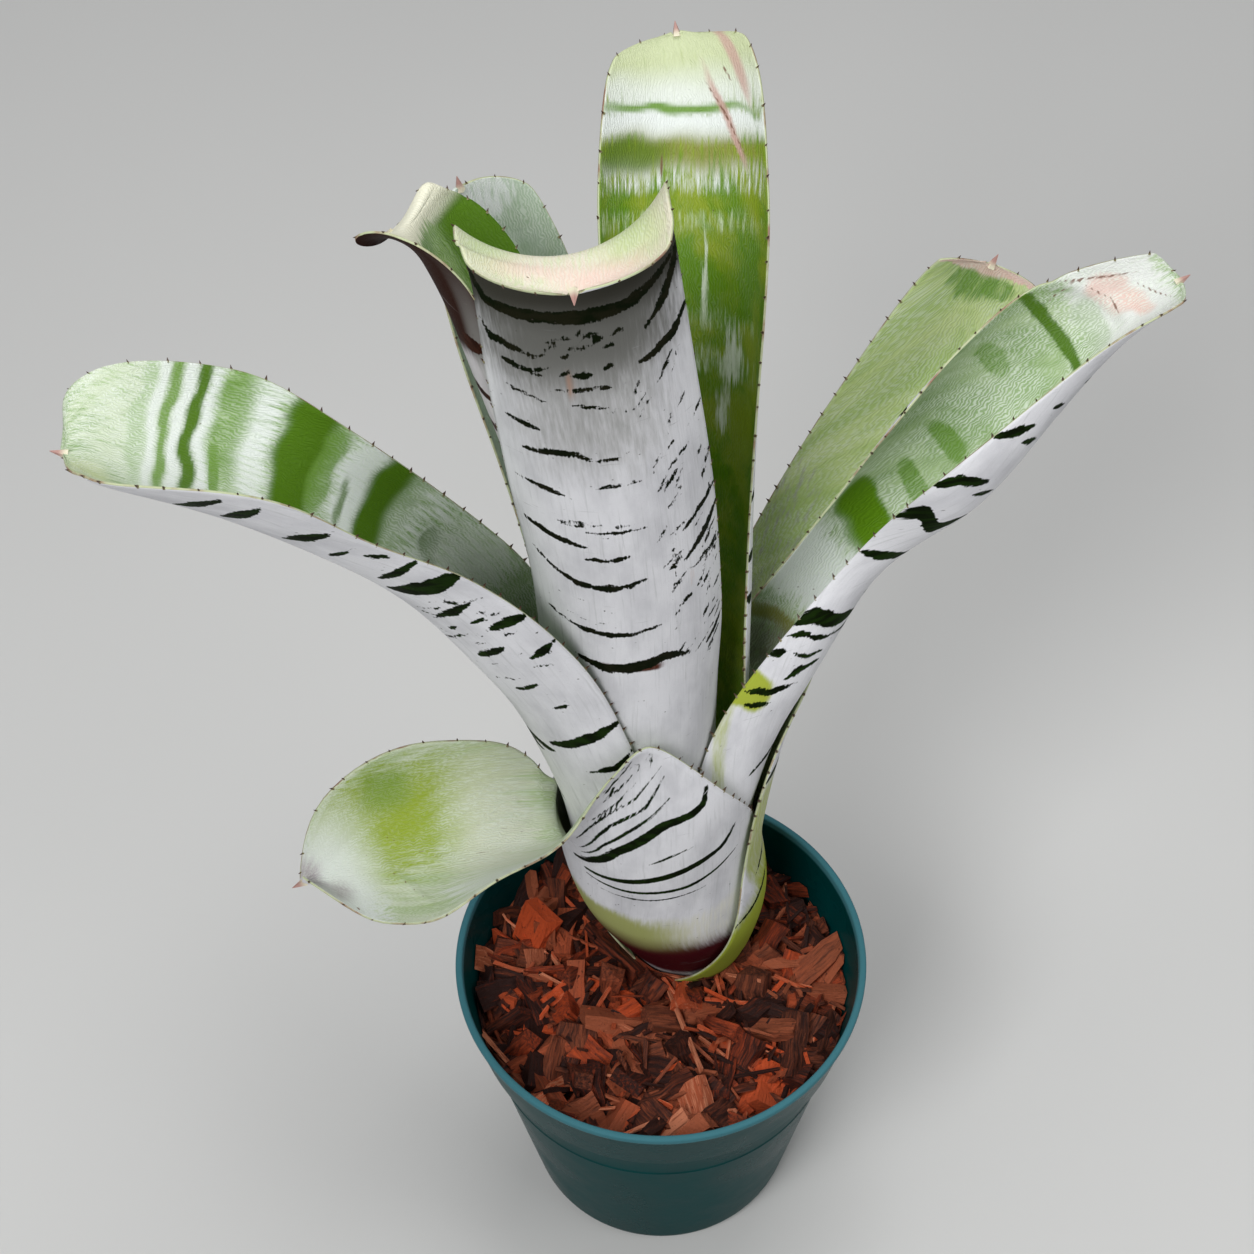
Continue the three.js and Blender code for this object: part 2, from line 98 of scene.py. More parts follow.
class Graph:
    """The node tree of one material, with short calls for the nodes it is made of."""

    TOOTH_STRENGTH = 12.0
    TOOTH_RAMP = (0.16, 0.84)
    WAVE_SCALE = math.tau / 20.0  # at which lines lie one unit apart
    MIX_SOCKETS = (0, 6, 7)  # the share and the two colours
    MIX_RESULT = 2

    def __init__(self, name: str) -> None:
        """Start a material with its shader.

        Args:
            name: Name of the material.
        """
        self.material = bpy.data.materials.new(name)
        self.material.use_nodes = True
        self.nodes = self.material.node_tree.nodes
        self.links = self.material.node_tree.links
        self.shader = self.nodes["Principled BSDF"]

    def put(self, socket: Socket, value: object) -> None:
        """Link a socket to another, or set its plain value.

        Args:
            socket: The socket that is fed.
            value: Another socket, or a number or colour.
        """
        if isinstance(value, Socket):
            self.links.new(value, socket)
        else:
            socket.default_value = value

    def node(self, kind: str, **values: object) -> bpy.types.Node:
        """Make a node and feed the sockets that are named.

        Args:
            kind: Type of the node, after "ShaderNode".
            values: What each socket gets, with _ for a space in its name.

        Returns:
            The node.
        """
        node = self.nodes.new("ShaderNode" + kind)
        for name, value in values.items():
            self.put(node.inputs[name.replace("_", " ")], value)
        return node

    def attribute(self, name: str, output: str = "Fac") -> Socket:
        """Read an attribute of the mesh.

        Args:
            name: Name of the attribute.
            output: Which side of it is wanted.

        Returns:
            The attribute's value.
        """
        node = self.node("Attribute")
        node.attribute_name = name
        return node.outputs[output]

    def position(self) -> Socket:
        """Read the place on the object, in metres."""
        return self.node("TexCoord").outputs["Object"]

    def upright(self, vector: Socket) -> Socket:
        """Height part of a vector."""
        return self.node("SeparateXYZ", Vector=vector).outputs["Z"]

    def stretch(self, vector: Socket, scale: Triple, offset: Triple) -> Socket:
        """Scale and shift a vector, to stretch the pattern that reads it."""
        return self.node("Mapping", Vector=vector, Scale=scale, Location=offset).outputs["Vector"]

    def noise(self, vector: Socket, scale: float | Triple, detail: float = 3.0, rough: float = 0.55,
              warp: float = 0.0, offset: Triple = (0.0, 0.0, 0.0)) -> Socket:
        """Make fractal noise from 0 to 1.

        Args:
            vector: The coordinates it reads.
            scale: Features per unit of length, or a factor for each axis.
            detail: Octaves.
            rough: Strength of the fine octaves.
            warp: Distortion of the pattern.
            offset: Shift on each axis, where the scale has its own factors.

        Returns:
            The noise value.
        """
        if isinstance(scale, tuple):
            vector, scale = self.stretch(vector, scale, offset), 1.0
        return self.node("TexNoise", Vector=vector, Scale=scale, Detail=detail, Roughness=rough,
                         Distortion=warp).outputs["Fac"]

    def cells(self, vector: Socket, scale: Triple) -> Socket:
        """Distance to the nearest of many scattered points."""
        vector = self.stretch(vector, scale, (0.0, 0.0, 0.0))
        return self.node("TexVoronoi", Vector=vector, Scale=1.0).outputs["Distance"]

    def print_lines(self, vector: Socket, pitch: float, wander: float) -> Socket:
        """Make fine wandering lines, as on a fingertip.

        Args:
            vector: The coordinates it reads.
            pitch: Distance from line to line.
            wander: How far the lines wander.

        Returns:
            The height of the lines, from 0 to 1.
        """
        return self.node("TexWave", Vector=vector, Scale=self.WAVE_SCALE / pitch, Distortion=wander,
                         Detail=2.0, Detail_Scale=1.1).outputs["Fac"]

    def fringe(self, cover: Socket, streak: Socket, depth: float) -> Socket:
        """Break the edge of a soft mask into fine teeth.

        Args:
            cover: The mask, from 0 to 1.
            streak: The noise that the teeth follow.
            depth: How deep the teeth cut.

        Returns:
            The mask with its broken edge.
        """
        slope = self.math("MULTIPLY", cover, self.math("SUBTRACT", 1.0, cover))
        centred = self.math("SUBTRACT", streak, 0.5)
        tooth = self.math("MULTIPLY", centred, self.TOOTH_STRENGTH * depth)
        broken = self.math("ADD", cover, self.math("MULTIPLY", slope, tooth))
        return self.ramp(broken, *self.TOOTH_RAMP)

    def shake(self, value: Socket, pattern: Socket, reach: float) -> Socket:
        """Shift a value up and down with a noise, by half the reach each way."""
        centred = self.math("SUBTRACT", pattern, 0.5)
        return self.math("ADD", value, self.math("MULTIPLY", centred, reach))

    def ramp(self, value: Socket, low: float, high: float, start: float = 0.0,
             end: float = 1.0) -> Socket:
        """Rise smoothly between two values.

        Args:
            value: The value that is read.
            low: Where the rise starts.
            high: Where the rise ends.
            start: Result below low.
            end: Result above high.

        Returns:
            The result.
        """
        node = self.node("MapRange", Value=value, From_Min=low, From_Max=high, To_Min=start,
                         To_Max=end)
        node.interpolation_type = "SMOOTHSTEP"
        return node.outputs["Result"]

    def math(self, operation: str, first: object, second: object) -> Socket:
        """Work out one sum of two values.

        Args:
            operation: What is done with them.
            first: The first value.
            second: The second value.

        Returns:
            The result.
        """
        node = self.node("Math")
        node.operation = operation
        self.put(node.inputs[0], first)
        self.put(node.inputs[1], second)
        return node.outputs[0]

    def mix(self, share: object, first: object, second: object) -> Socket:
        """Mix two colours.

        Args:
            share: How much of the second colour there is.
            first: The first colour.
            second: The second colour.

        Returns:
            The mixed colour.
        """
        node = self.node("Mix")
        node.data_type = "RGBA"
        for index, item in zip(self.MIX_SOCKETS, (share, first, second)):
            self.put(node.inputs[index], (*item, 1.0) if isinstance(item, tuple) else item)
        return node.outputs[self.MIX_RESULT]

    def finish(self, colour: Socket, rough: object, height: Socket, depth: float,
               strength: float = 0.6, gloss: float = 0.25) -> bpy.types.Material:
        """Connect colour, roughness and fine relief to the shader.

        Args:
            colour: Base colour.
            rough: Roughness.
            height: Height of the relief, from 0 to 1.
            depth: Depth of the relief, in millimetres.
            strength: How strongly the relief shows.
            gloss: Strength of the surface reflection.

        Returns:
            The finished material.
        """
        bump = self.node("Bump", Height=height, Distance=depth * MM, Strength=strength)
        for name, value in (
            ("Normal", bump.outputs["Normal"]), ("Base Color", colour), ("Roughness", rough),
            ("Specular IOR Level", gloss),
        ):
            self.put(self.shader.inputs[name], value)
        return self.material


@dataclass(frozen=True)
class OuterSkin:
    """The scurfy outer face of a leaf, crossed by dark strokes."""

    name: str
    light: Colour = (0.74, 0.74, 0.77)
    shade: Colour = (0.58, 0.58, 0.61)
    ink: Colour = (0.003, 0.006, 0.001)
    ink_green: Colour = (0.008, 0.022, 0.002)
    teeth: float = 1.1
    sway: float = 1.5
    line_grey: Colour = (0.42, 0.43, 0.43)
    scurf_grey: Colour = (0.40, 0.41, 0.42)
    speck: Colour = (0.05, 0.04, 0.035)

    def build(self) -> bpy.types.Material:
        """Make the material: silver scurf, fine lengthwise lines, ragged strokes and specks.

        Returns:
            The material.
        """
        g = Graph(self.name)
        leaf = g.attribute("leafco", "Vector")
        cloud = g.noise(leaf, (0.06, 0.025, 1.0), 4.0, 0.6)
        colour = g.mix(g.ramp(cloud, 0.38, 0.70), self.light, self.shade)
        lines = g.noise(leaf, (0.95, 0.04, 1.0), 3.0, 0.6, 0.4)
        colour = g.mix(g.ramp(lines, 0.52, 0.80, 0.0, 0.45), colour, self.line_grey)
        scurf = g.noise(leaf, 2.4, 3.0, 0.7)
        colour = g.mix(g.ramp(scurf, 0.52, 0.80, 0.0, 0.40), colour, self.scurf_grey)
        streak = g.noise(leaf, (0.8, 0.10, 1.0), 3.0, 0.6)
        tint = g.fringe(g.attribute("tint_out", "Alpha"), streak, 0.18)
        colour = g.mix(tint, colour, g.attribute("tint_out", "Color"))
        faint = g.noise(leaf, (0.06, 0.75, 1.0), 3.0, 0.65, 0.6, (9.0, 4.0, 0.0))
        thin_ink = g.mix(0.5, self.ink_green, self.shade)
        colour = g.mix(g.ramp(faint, 0.67, 0.75, 0.0, 0.6), colour, thin_ink)
        comb = g.noise(leaf, (1.3, 0.30, 1.0), 3.0, 0.65)
        swell = g.noise(leaf, (0.16, 0.22, 1.0), 3.0, 0.6, 0.5)
        edge = g.shake(g.attribute("ink_out"), comb, self.teeth * 2)
        edge = g.shake(edge, swell, self.sway * 2)
        tone = g.noise(leaf, (0.12, 0.2, 1.0), offset=(3.0, 8.0, 0.0))
        ink = g.mix(g.ramp(tone, 0.42, 0.62), self.ink, self.ink_green)
        colour = g.mix(g.ramp(edge, -0.12, 0.30), colour, ink)
        specks = g.ramp(g.cells(leaf, (0.22, 0.30, 1.0)), 0.05, 0.09, 0.85, 0.0)
        gate = g.noise(leaf, (0.03, 0.03, 1.0), 2.0, offset=(5.0, 2.0, 0.0))
        specks = g.math("MULTIPLY", specks, g.ramp(gate, 0.45, 0.6))
        colour = g.mix(specks, colour, self.speck)
        rough = g.ramp(scurf, 0.3, 0.7, 0.66, 0.50)
        relief = g.math("ADD", g.math("MULTIPLY", lines, 0.8), g.math("MULTIPLY", scurf, 0.35))
        return g.finish(colour, rough, relief, depth=0.30, strength=0.5, gloss=0.03)


@dataclass(frozen=True)
class InnerSkin:
    """The green inner face of a leaf, frosted in bands."""

    name: str
    pale: Colour
    green: Colour
    frosting: float
    frost: Colour = (0.74, 0.80, 0.72)
    fleck: Colour = (0.10, 0.07, 0.03)
    fold: Colour = (0.16, 0.07, 0.04)
    pitch: float = 1.05

    def build(self) -> bpy.types.Material:
        """Make the material: green under fine lines of white hairs, with fringed bands.

        Returns:
            The material.
        """
        g = Graph(self.name)
        leaf = g.attribute("leafco", "Vector")
        cloud = g.noise(leaf, (0.05, 0.04, 1.0), 4.0, 0.6, 0.3, (2.0, 6.0, 0.0))
        colour = g.mix(g.ramp(cloud, 0.38, 0.62), self.pale, self.green)
        streak = g.noise(leaf, (0.85, 0.07, 1.0), 4.0, 0.65)
        tint = g.fringe(g.attribute("tint_in", "Alpha"), streak, 0.85)
        colour = g.mix(tint, colour, g.attribute("tint_in", "Color"))
        whorl = g.print_lines(leaf, self.pitch, 11.0)
        haze = g.noise(leaf, (0.05, 0.06, 1.0), 4.0, 0.65, offset=(7.0, 1.0, 0.0))
        hair = g.ramp(whorl, 0.25, 0.80, 0.25, 1.0)
        hair = g.math("MULTIPLY", hair, g.ramp(haze, 0.34, 0.60, 0.25, 1.0))
        hair = g.math("MULTIPLY", hair, g.attribute("frost_in"))
        colour = g.mix(g.math("MULTIPLY", hair, self.frosting), colour, self.frost)
        flecks = g.ramp(g.cells(leaf, (0.12, 0.16, 1.0)), 0.03, 0.06, 0.8, 0.0)
        gate = g.noise(leaf, (0.03, 0.03, 1.0), 2.0, offset=(1.0, 9.0, 0.0))
        flecks = g.math("MULTIPLY", flecks, g.ramp(gate, 0.5, 0.62))
        colour = g.mix(flecks, colour, self.fleck)
        mark = g.shake(g.attribute("ink_in"), streak, 0.9)
        colour = g.mix(g.ramp(mark, -0.1, 0.3, 0.0, 0.85), colour, self.fold)
        rough = g.ramp(hair, 0.0, 0.6, 0.38, 0.60)
        relief = g.math("ADD", g.math("MULTIPLY", whorl, 0.5), g.math("MULTIPLY", streak, 0.7))
        return g.finish(colour, rough, relief, depth=0.35, strength=0.6, gloss=0.10)


@dataclass(frozen=True)
class MarginSkin:
    """The thin edge of a leaf, pale with a brown blush."""

    name: str = "margin_pale"
    pale: Colour = (0.50, 0.55, 0.34)
    blush: Colour = (0.30, 0.17, 0.12)

    def build(self) -> bpy.types.Material:
        """Make the material.

        Returns:
            The material.
        """
        g = Graph(self.name)
        leaf = g.attribute("leafco", "Vector")
        patch = g.noise(leaf, (0.02, 0.09, 1.0), 3.0, 0.6)
        colour = g.mix(g.ramp(patch, 0.45, 0.7), self.pale, self.blush)
        return g.finish(colour, 0.55, g.noise(leaf, 1.0, 2.0), depth=0.2)


@dataclass(frozen=True)
class SpineSkin:
    """A spine: pale where it leaves the leaf, brown at its point, pinkish at the leaf's tip."""

    name: str = "spine_brown"
    brown: Colour = (0.030, 0.014, 0.010)
    worn_brown: Colour = (0.085, 0.038, 0.026)
    pink: Colour = (0.42, 0.24, 0.21)
    green_root: Colour = (0.22, 0.20, 0.10)
    cream_root: Colour = (0.70, 0.66, 0.50)

    def build(self) -> bpy.types.Material:
        """Make the material.

        Returns:
            The material.
        """
        g = Graph(self.name)
        grain = g.noise(g.position(), 900.0, 2.0)
        brown = g.mix(grain, self.brown, self.worn_brown)
        point = g.mix(g.attribute("blush"), brown, self.pink)
        root = g.mix(g.attribute("blush"), self.green_root, self.cream_root)
        colour = g.mix(g.ramp(g.attribute("rise"), 0.05, 0.6), root, point)
        return g.finish(colour, 0.45, grain, depth=0.1)


@dataclass(frozen=True)
class PotPlastic:
    """Thin glossy moulded plastic, specked with dust and painted glints; its rim paler, partly as
    painted highlight.
    """

    name: str = "pot_teal_plastic"
    body: Colour = (0.0, 0.034, 0.035)
    light: Colour = (0.0, 0.047, 0.048)
    # Rim colour: the plastic's own paler rim, brightened as a painted highlight on the rolled bead.
    rim: Colour = (0.055, 0.180, 0.215)
    # Light teal specks: partly dust, partly painted glints on the glossy wall.
    dust_and_glints: Colour = (0.03, 0.13, 0.15)
    film: Colour = (0.02, 0.12, 0.14)
    rim_height: float = 132.9
    rim_fade: float = 1.6
    # Wobble of the lower edge of the rim's painted highlight, in millimetres.
    rim_edge_wobble: float = 0.8

    def build(self) -> bpy.types.Material:
        """Make the material.

        Returns:
            The material.
        """
        g = Graph(self.name)
        place = g.position()
        cloud = g.noise(place, 22.0, 4.0, 0.6)
        colour = g.mix(g.ramp(cloud, 0.35, 0.7), self.body, self.light)
        # Paint the rim above a wobbly line: its own paler colour, brightened as a painted
        # highlight.
        rim_edge_shift = g.math("MULTIPLY", g.noise(place, 160.0, 4.0, 0.7), self.rim_edge_wobble * MM)
        height = g.math("ADD", g.upright(place), rim_edge_shift)
        top = g.ramp(height, self.rim_height * MM, (self.rim_height + self.rim_fade) * MM)
        colour = g.mix(g.math("MULTIPLY", top, 0.9), colour, self.rim)
        # Fine light teal specks: partly dust, partly painted glints.
        dust_and_glints = g.noise(place, 1400.0, 3.0, 0.7)
        colour = g.mix(g.ramp(dust_and_glints, 0.68, 0.82, 0.0, 0.25), colour, self.dust_and_glints)
        film = g.noise(place, (40.0, 40.0, 16.0), 4.0, 0.65)
        colour = g.mix(g.ramp(film, 0.60, 0.85, 0.0, 0.10), colour, self.film)
        rough = g.ramp(cloud, 0.3, 0.75, 0.24, 0.38)
        relief = g.math("ADD", g.noise(place, 300.0, 2.0), g.math("MULTIPLY", cloud, 0.6))
        return g.finish(colour, rough, relief, depth=0.10, strength=0.4, gloss=0.02)


@dataclass(frozen=True)
class BarkGrain:
    """Fibrous bark: red-brown, each chip of its own tone, with a grain along it; the tone is darker
    low in the heap as painted shade, and light chips on top turn pale as painted highlight.
    """

    name: str = "bark_red_brown"
    deep: Colour = (0.022, 0.005, 0.003)
    warm: Colour = (0.54, 0.075, 0.018)
    brown: Colour = (0.34, 0.088, 0.038)
    pale: Colour = (0.60, 0.21, 0.11)

    def build(self) -> bpy.types.Material:
        """Make the material.

        Returns:
            The material.
        """
        g = Graph(self.name)
        grain = g.attribute("grain", "Vector")
        fibre = g.noise(grain, (0.10, 0.85, 0.85), 5.0, 0.7, 0.4)
        tone = g.attribute("tone")
        hue = g.noise(grain, (0.012, 0.012, 0.012), 0.0)
        warm = g.mix(g.ramp(hue, 0.36, 0.62), self.warm, self.brown)
        shade = g.math("ADD", tone, g.math("MULTIPLY", fibre, 1.3))
        # Deep brown on dark chips; through the tone this falls on the low chips and the bed as
        # painted shade.
        colour = g.mix(g.ramp(shade, 0.62, 1.35), self.deep, warm)
        # Pale orange on the fibres of light chips; since the tone rises to the top of the heap,
        # this is partly painted highlight.
        colour = g.mix(g.ramp(g.math("MULTIPLY", tone, fibre), 0.44, 0.60), colour, self.pale)
        pits = g.noise(grain, 0.5, 3.0)
        colour = g.mix(g.ramp(pits, 0.62, 0.74, 0.0, 0.7), colour, self.deep)
        rough = g.ramp(fibre, 0.3, 0.7, 0.60, 0.90)
        relief = g.math("ADD", fibre, g.math("MULTIPLY", pits, 0.5))
        return g.finish(colour, rough, relief, depth=1.1, strength=0.9, gloss=0.30)


@dataclass(frozen=True)
class StemSkin:
    """The short stem under the leaves: dull brown with old leaf scars."""

    name: str = "stem_brown"
    dark: Colour = (0.16, 0.12, 0.05)
    light: Colour = (0.30, 0.24, 0.11)

    def build(self) -> bpy.types.Material:
        """Make the material.

        Returns:
            The material.
        """
        g = Graph(self.name)
        scars = g.noise(g.position(), (60.0, 60.0, 420.0), 4.0, 0.6)
        colour = g.mix(g.ramp(scars, 0.35, 0.65), self.dark, self.light)
        return g.finish(colour, 0.8, scars, depth=0.6, strength=0.7)


@dataclass(frozen=True)
class FloorPaint:
    """The plain pale studio floor."""

    name: str = "floor_pale"
    colour: Colour = (0.62, 0.62, 0.61)
    lighter: Colour = (0.66, 0.66, 0.65)

    def build(self) -> bpy.types.Material:
        """Make the material.

        Returns:
            The material.
        """
        g = Graph(self.name)
        cloud = g.noise(g.position(), 3.0, 2.0)
        colour = g.mix(g.ramp(cloud, 0.3, 0.7, 0.0, 0.25), self.colour, self.lighter)
        return g.finish(colour, 0.85, cloud, depth=0.1, strength=0.1)


Finish = (
    OuterSkin | InnerSkin | MarginSkin | SpineSkin | PotPlastic | BarkGrain | StemSkin | FloorPaint
)
_materials: dict[str, bpy.types.Material] = {}


def material_of(finish: Finish) -> bpy.types.Material:
    """Make a finish's material once and keep it.

    Args:
        finish: The finish.

    Returns:
        Its material.
    """
    if finish.name not in _materials:
        _materials[finish.name] = finish.build()
    return _materials[finish.name]


# ---------------------------------------------------------------------------
# Pieces
# ---------------------------------------------------------------------------


def dress(piece: bpy.types.Object, finish: Finish) -> None:
    """Give a piece one finish all over."""
    piece.data.materials.clear()
    piece.data.materials.append(material_of(finish))


def piece_of(bm: bmesh.types.BMesh, name: str) -> bpy.types.Object:
    """Put a finished mesh into the scene as a piece.

    Args:
        bm: The mesh, which is freed.
        name: Name of the piece.

    Returns:
        The piece.
    """
    mesh = bpy.data.meshes.new(name)
    bm.to_mesh(mesh)
    bm.free()
    piece = bpy.data.objects.new(name, mesh)
    bpy.context.scene.collection.objects.link(piece)
    return piece


def place(piece: bpy.types.Object, slot: str, node: str | None = None) -> None:
    """Set a piece on the frame.

    Args:
        piece: The finished piece.
        slot: Not used.
        node: The solid that it stands for, if any.
    """
    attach(piece, "root")
    if node:
        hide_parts(node)


# ---------------------------------------------------------------------------
# Leaves
# ---------------------------------------------------------------------------


@dataclass(frozen=True)
class Stroke:
    """A dark stroke across a leaf, through points of length from the base and share of width."""

    width: float
    points: tuple[Spot, ...]


def drawn(*rows: tuple) -> tuple[Stroke, ...]:
    """Make strokes from rows, each with a width and then the points it runs through."""
    return tuple(Stroke(width, tuple(points)) for width, *points in rows)


@dataclass(frozen=True)
class StrokeRule:
    """Like strokes scattered by a seeded rule; sizes in millimetres, across as a share."""

    seed: int
    count: int
    along: Spot
    across: Spot
    length: Spot
    width: Spot
    slope: float = 0.0
    bow: float = 0.0
    half_width: float = 42.0
    slope_least: float = 0.6
    slope_spread: float = 0.8
    lean: float = 0.6
    wobble: float = 0.4
    knots: tuple[float, ...] = (-1.0, -0.35, 0.35, 1.0)

    def strokes(self) -> tuple[Stroke, ...]:
        """Draw the strokes, each with its own place, length, width and lean.

        Returns:
            The strokes.
        """
        source = random.Random(self.seed)
        made = []
        for _ in range(self.count):
            middle = source.uniform(*self.along)
            half = source.uniform(*self.length) / 2 / self.half_width
            centre = source.uniform(*self.across)
            lean = self.slope * (self.slope_least + self.slope_spread * source.random())
            lean += source.uniform(-self.lean, self.lean)
            points = []
            for k in self.knots:
                bow = self.bow * (k * k - 0.5)
                wobble = source.uniform(-self.wobble, self.wobble)
                points.append((middle + lean * k + bow + wobble, centre + half * k))
            made.append(Stroke(source.uniform(*self.width), tuple(points)))
        return tuple(made)


@dataclass(frozen=True)
class Patch:
    """A soft patch of colour: its middle, its half sizes and how strongly it covers."""

    middle: Spot
    size: Spot
    colour: Colour
    cover: float = 1.0
    soft: float = 0.25
    lean: float = 0.0


def stripes(u: float, across: float, soft: float, *rows: tuple) -> tuple[Patch, ...]:
    """Lay bands across a leaf.

    Args:
        u: Middle of the bands, as a share of half width.
        across: Half length of the bands, in millimetres.
        soft: How softly their edges end.
        rows: Distance from the base, half height, colour and cover of each band.

    Returns:
        The bands.
    """
    return tuple(Patch((s, u), (half, across), tone, cover, soft) for s, half, tone, cover in rows)


@dataclass(frozen=True)
class Crease:
    """A fold line pressed into a leaf: points, depth towards the inside and width."""

    points: tuple[Spot, ...]
    depth: float
    width: float


@dataclass(frozen=True)
class Bulb:
    """The nested leaf bases: radius by height, spacing of the layers, lean of the middle."""

    rings: tuple[Spot, ...] = ((105, 17.5), (130, 27), (157, 35), (190, 37))
    pitch: float = 1.8
    middle: Spot = (-2.0, 25.0)
    shift: float = 12.0
    shift_from: float = 105.0
    shift_to: float = 200.0

    def centre(self, height: float) -> np.ndarray:
        """Place of the plant's middle at a height."""
        share = float(smooth_step(self.shift_from, self.shift_to, np.array(height)))
        return np.array([self.middle[0] + self.shift * (1 - share), self.middle[1], height])


@dataclass(frozen=True)
class SpineRow:
    """How the small spines stand along a margin; sizes in millimetres."""

    pitch: float = 7.0  # least distance from spine to spine at the base
    length: float = 2.3  # of a spine of size 1
    radius: float = 0.75  # of its foot
    point: float = 0.05  # radius of its point
    sides: int = 5
    start: float = 0.3  # share of the leaf's rows that has none
    inside: float = 0.94  # share of half width that tells which way is out
    level: float = -0.45  # middle of the margin's thickness
    sunk: float = 0.4  # how deep the foot stands in the leaf
    gaps: Spot = (0.7, 1.25)  # limits of a distance, as a factor
    sizes: Spot = (0.8, 1.15)  # limits of a size, as a factor
    leans: Spot = (0.15, 0.6)  # limits of the lean towards the tip
    thin_from: float = 0.7  # factor on the distances at the base
    thinning: float = 0.9  # what it gains up to the tip
    size_from: float = 1.15  # size at the base
    shrink: float = 0.5  # what it loses up to the tip
    tip_size: float = 2.3
    tip_level: float = -0.5
    tip_sunk: float = 1.2


@dataclass(frozen=True)
class Wave:
    """The slow waves of a blade: height, where they start, and their sizes."""

    height: float = 0.5
    start: Spot = (95.0, 150.0)
    length: float = 55.0
    across: float = 1.6
    middle: float = 0.4
    edge: float = 0.9


@dataclass(frozen=True)
class Wander:
    """How the edges of the colour patches wander: reach, and size across and along."""

    reach: float = 2.2
    across: float = 13.0
    along: float = 11.0


@dataclass(frozen=True)
class Section:
    """Axes of a leaf's cross section: middle, directions, radius, half angle and raised margin."""

    middle: np.ndarray
    along: np.ndarray
    across: np.ndarray
    inward: np.ndarray
    radius: float
    half_angle: float
    lift: float

    def points(self, u: np.ndarray, height: np.ndarray) -> np.ndarray:
        """Points of the row on the outer face.

        Args:
            u: Share of half width of each point.
            height: Height of the relief at each point.

        Returns:
            The points, in millimetres.
        """
        angle = self.half_angle * u
        r = self.radius + height
        up = np.maximum(u, 0)
        points = self.middle + np.outer(np.sin(angle) * r, self.across)
        points += np.outer(self.radius - np.cos(angle) * r, self.inward)
        points[:, 2] += self.lift * up * up * (2 - up)
        return points


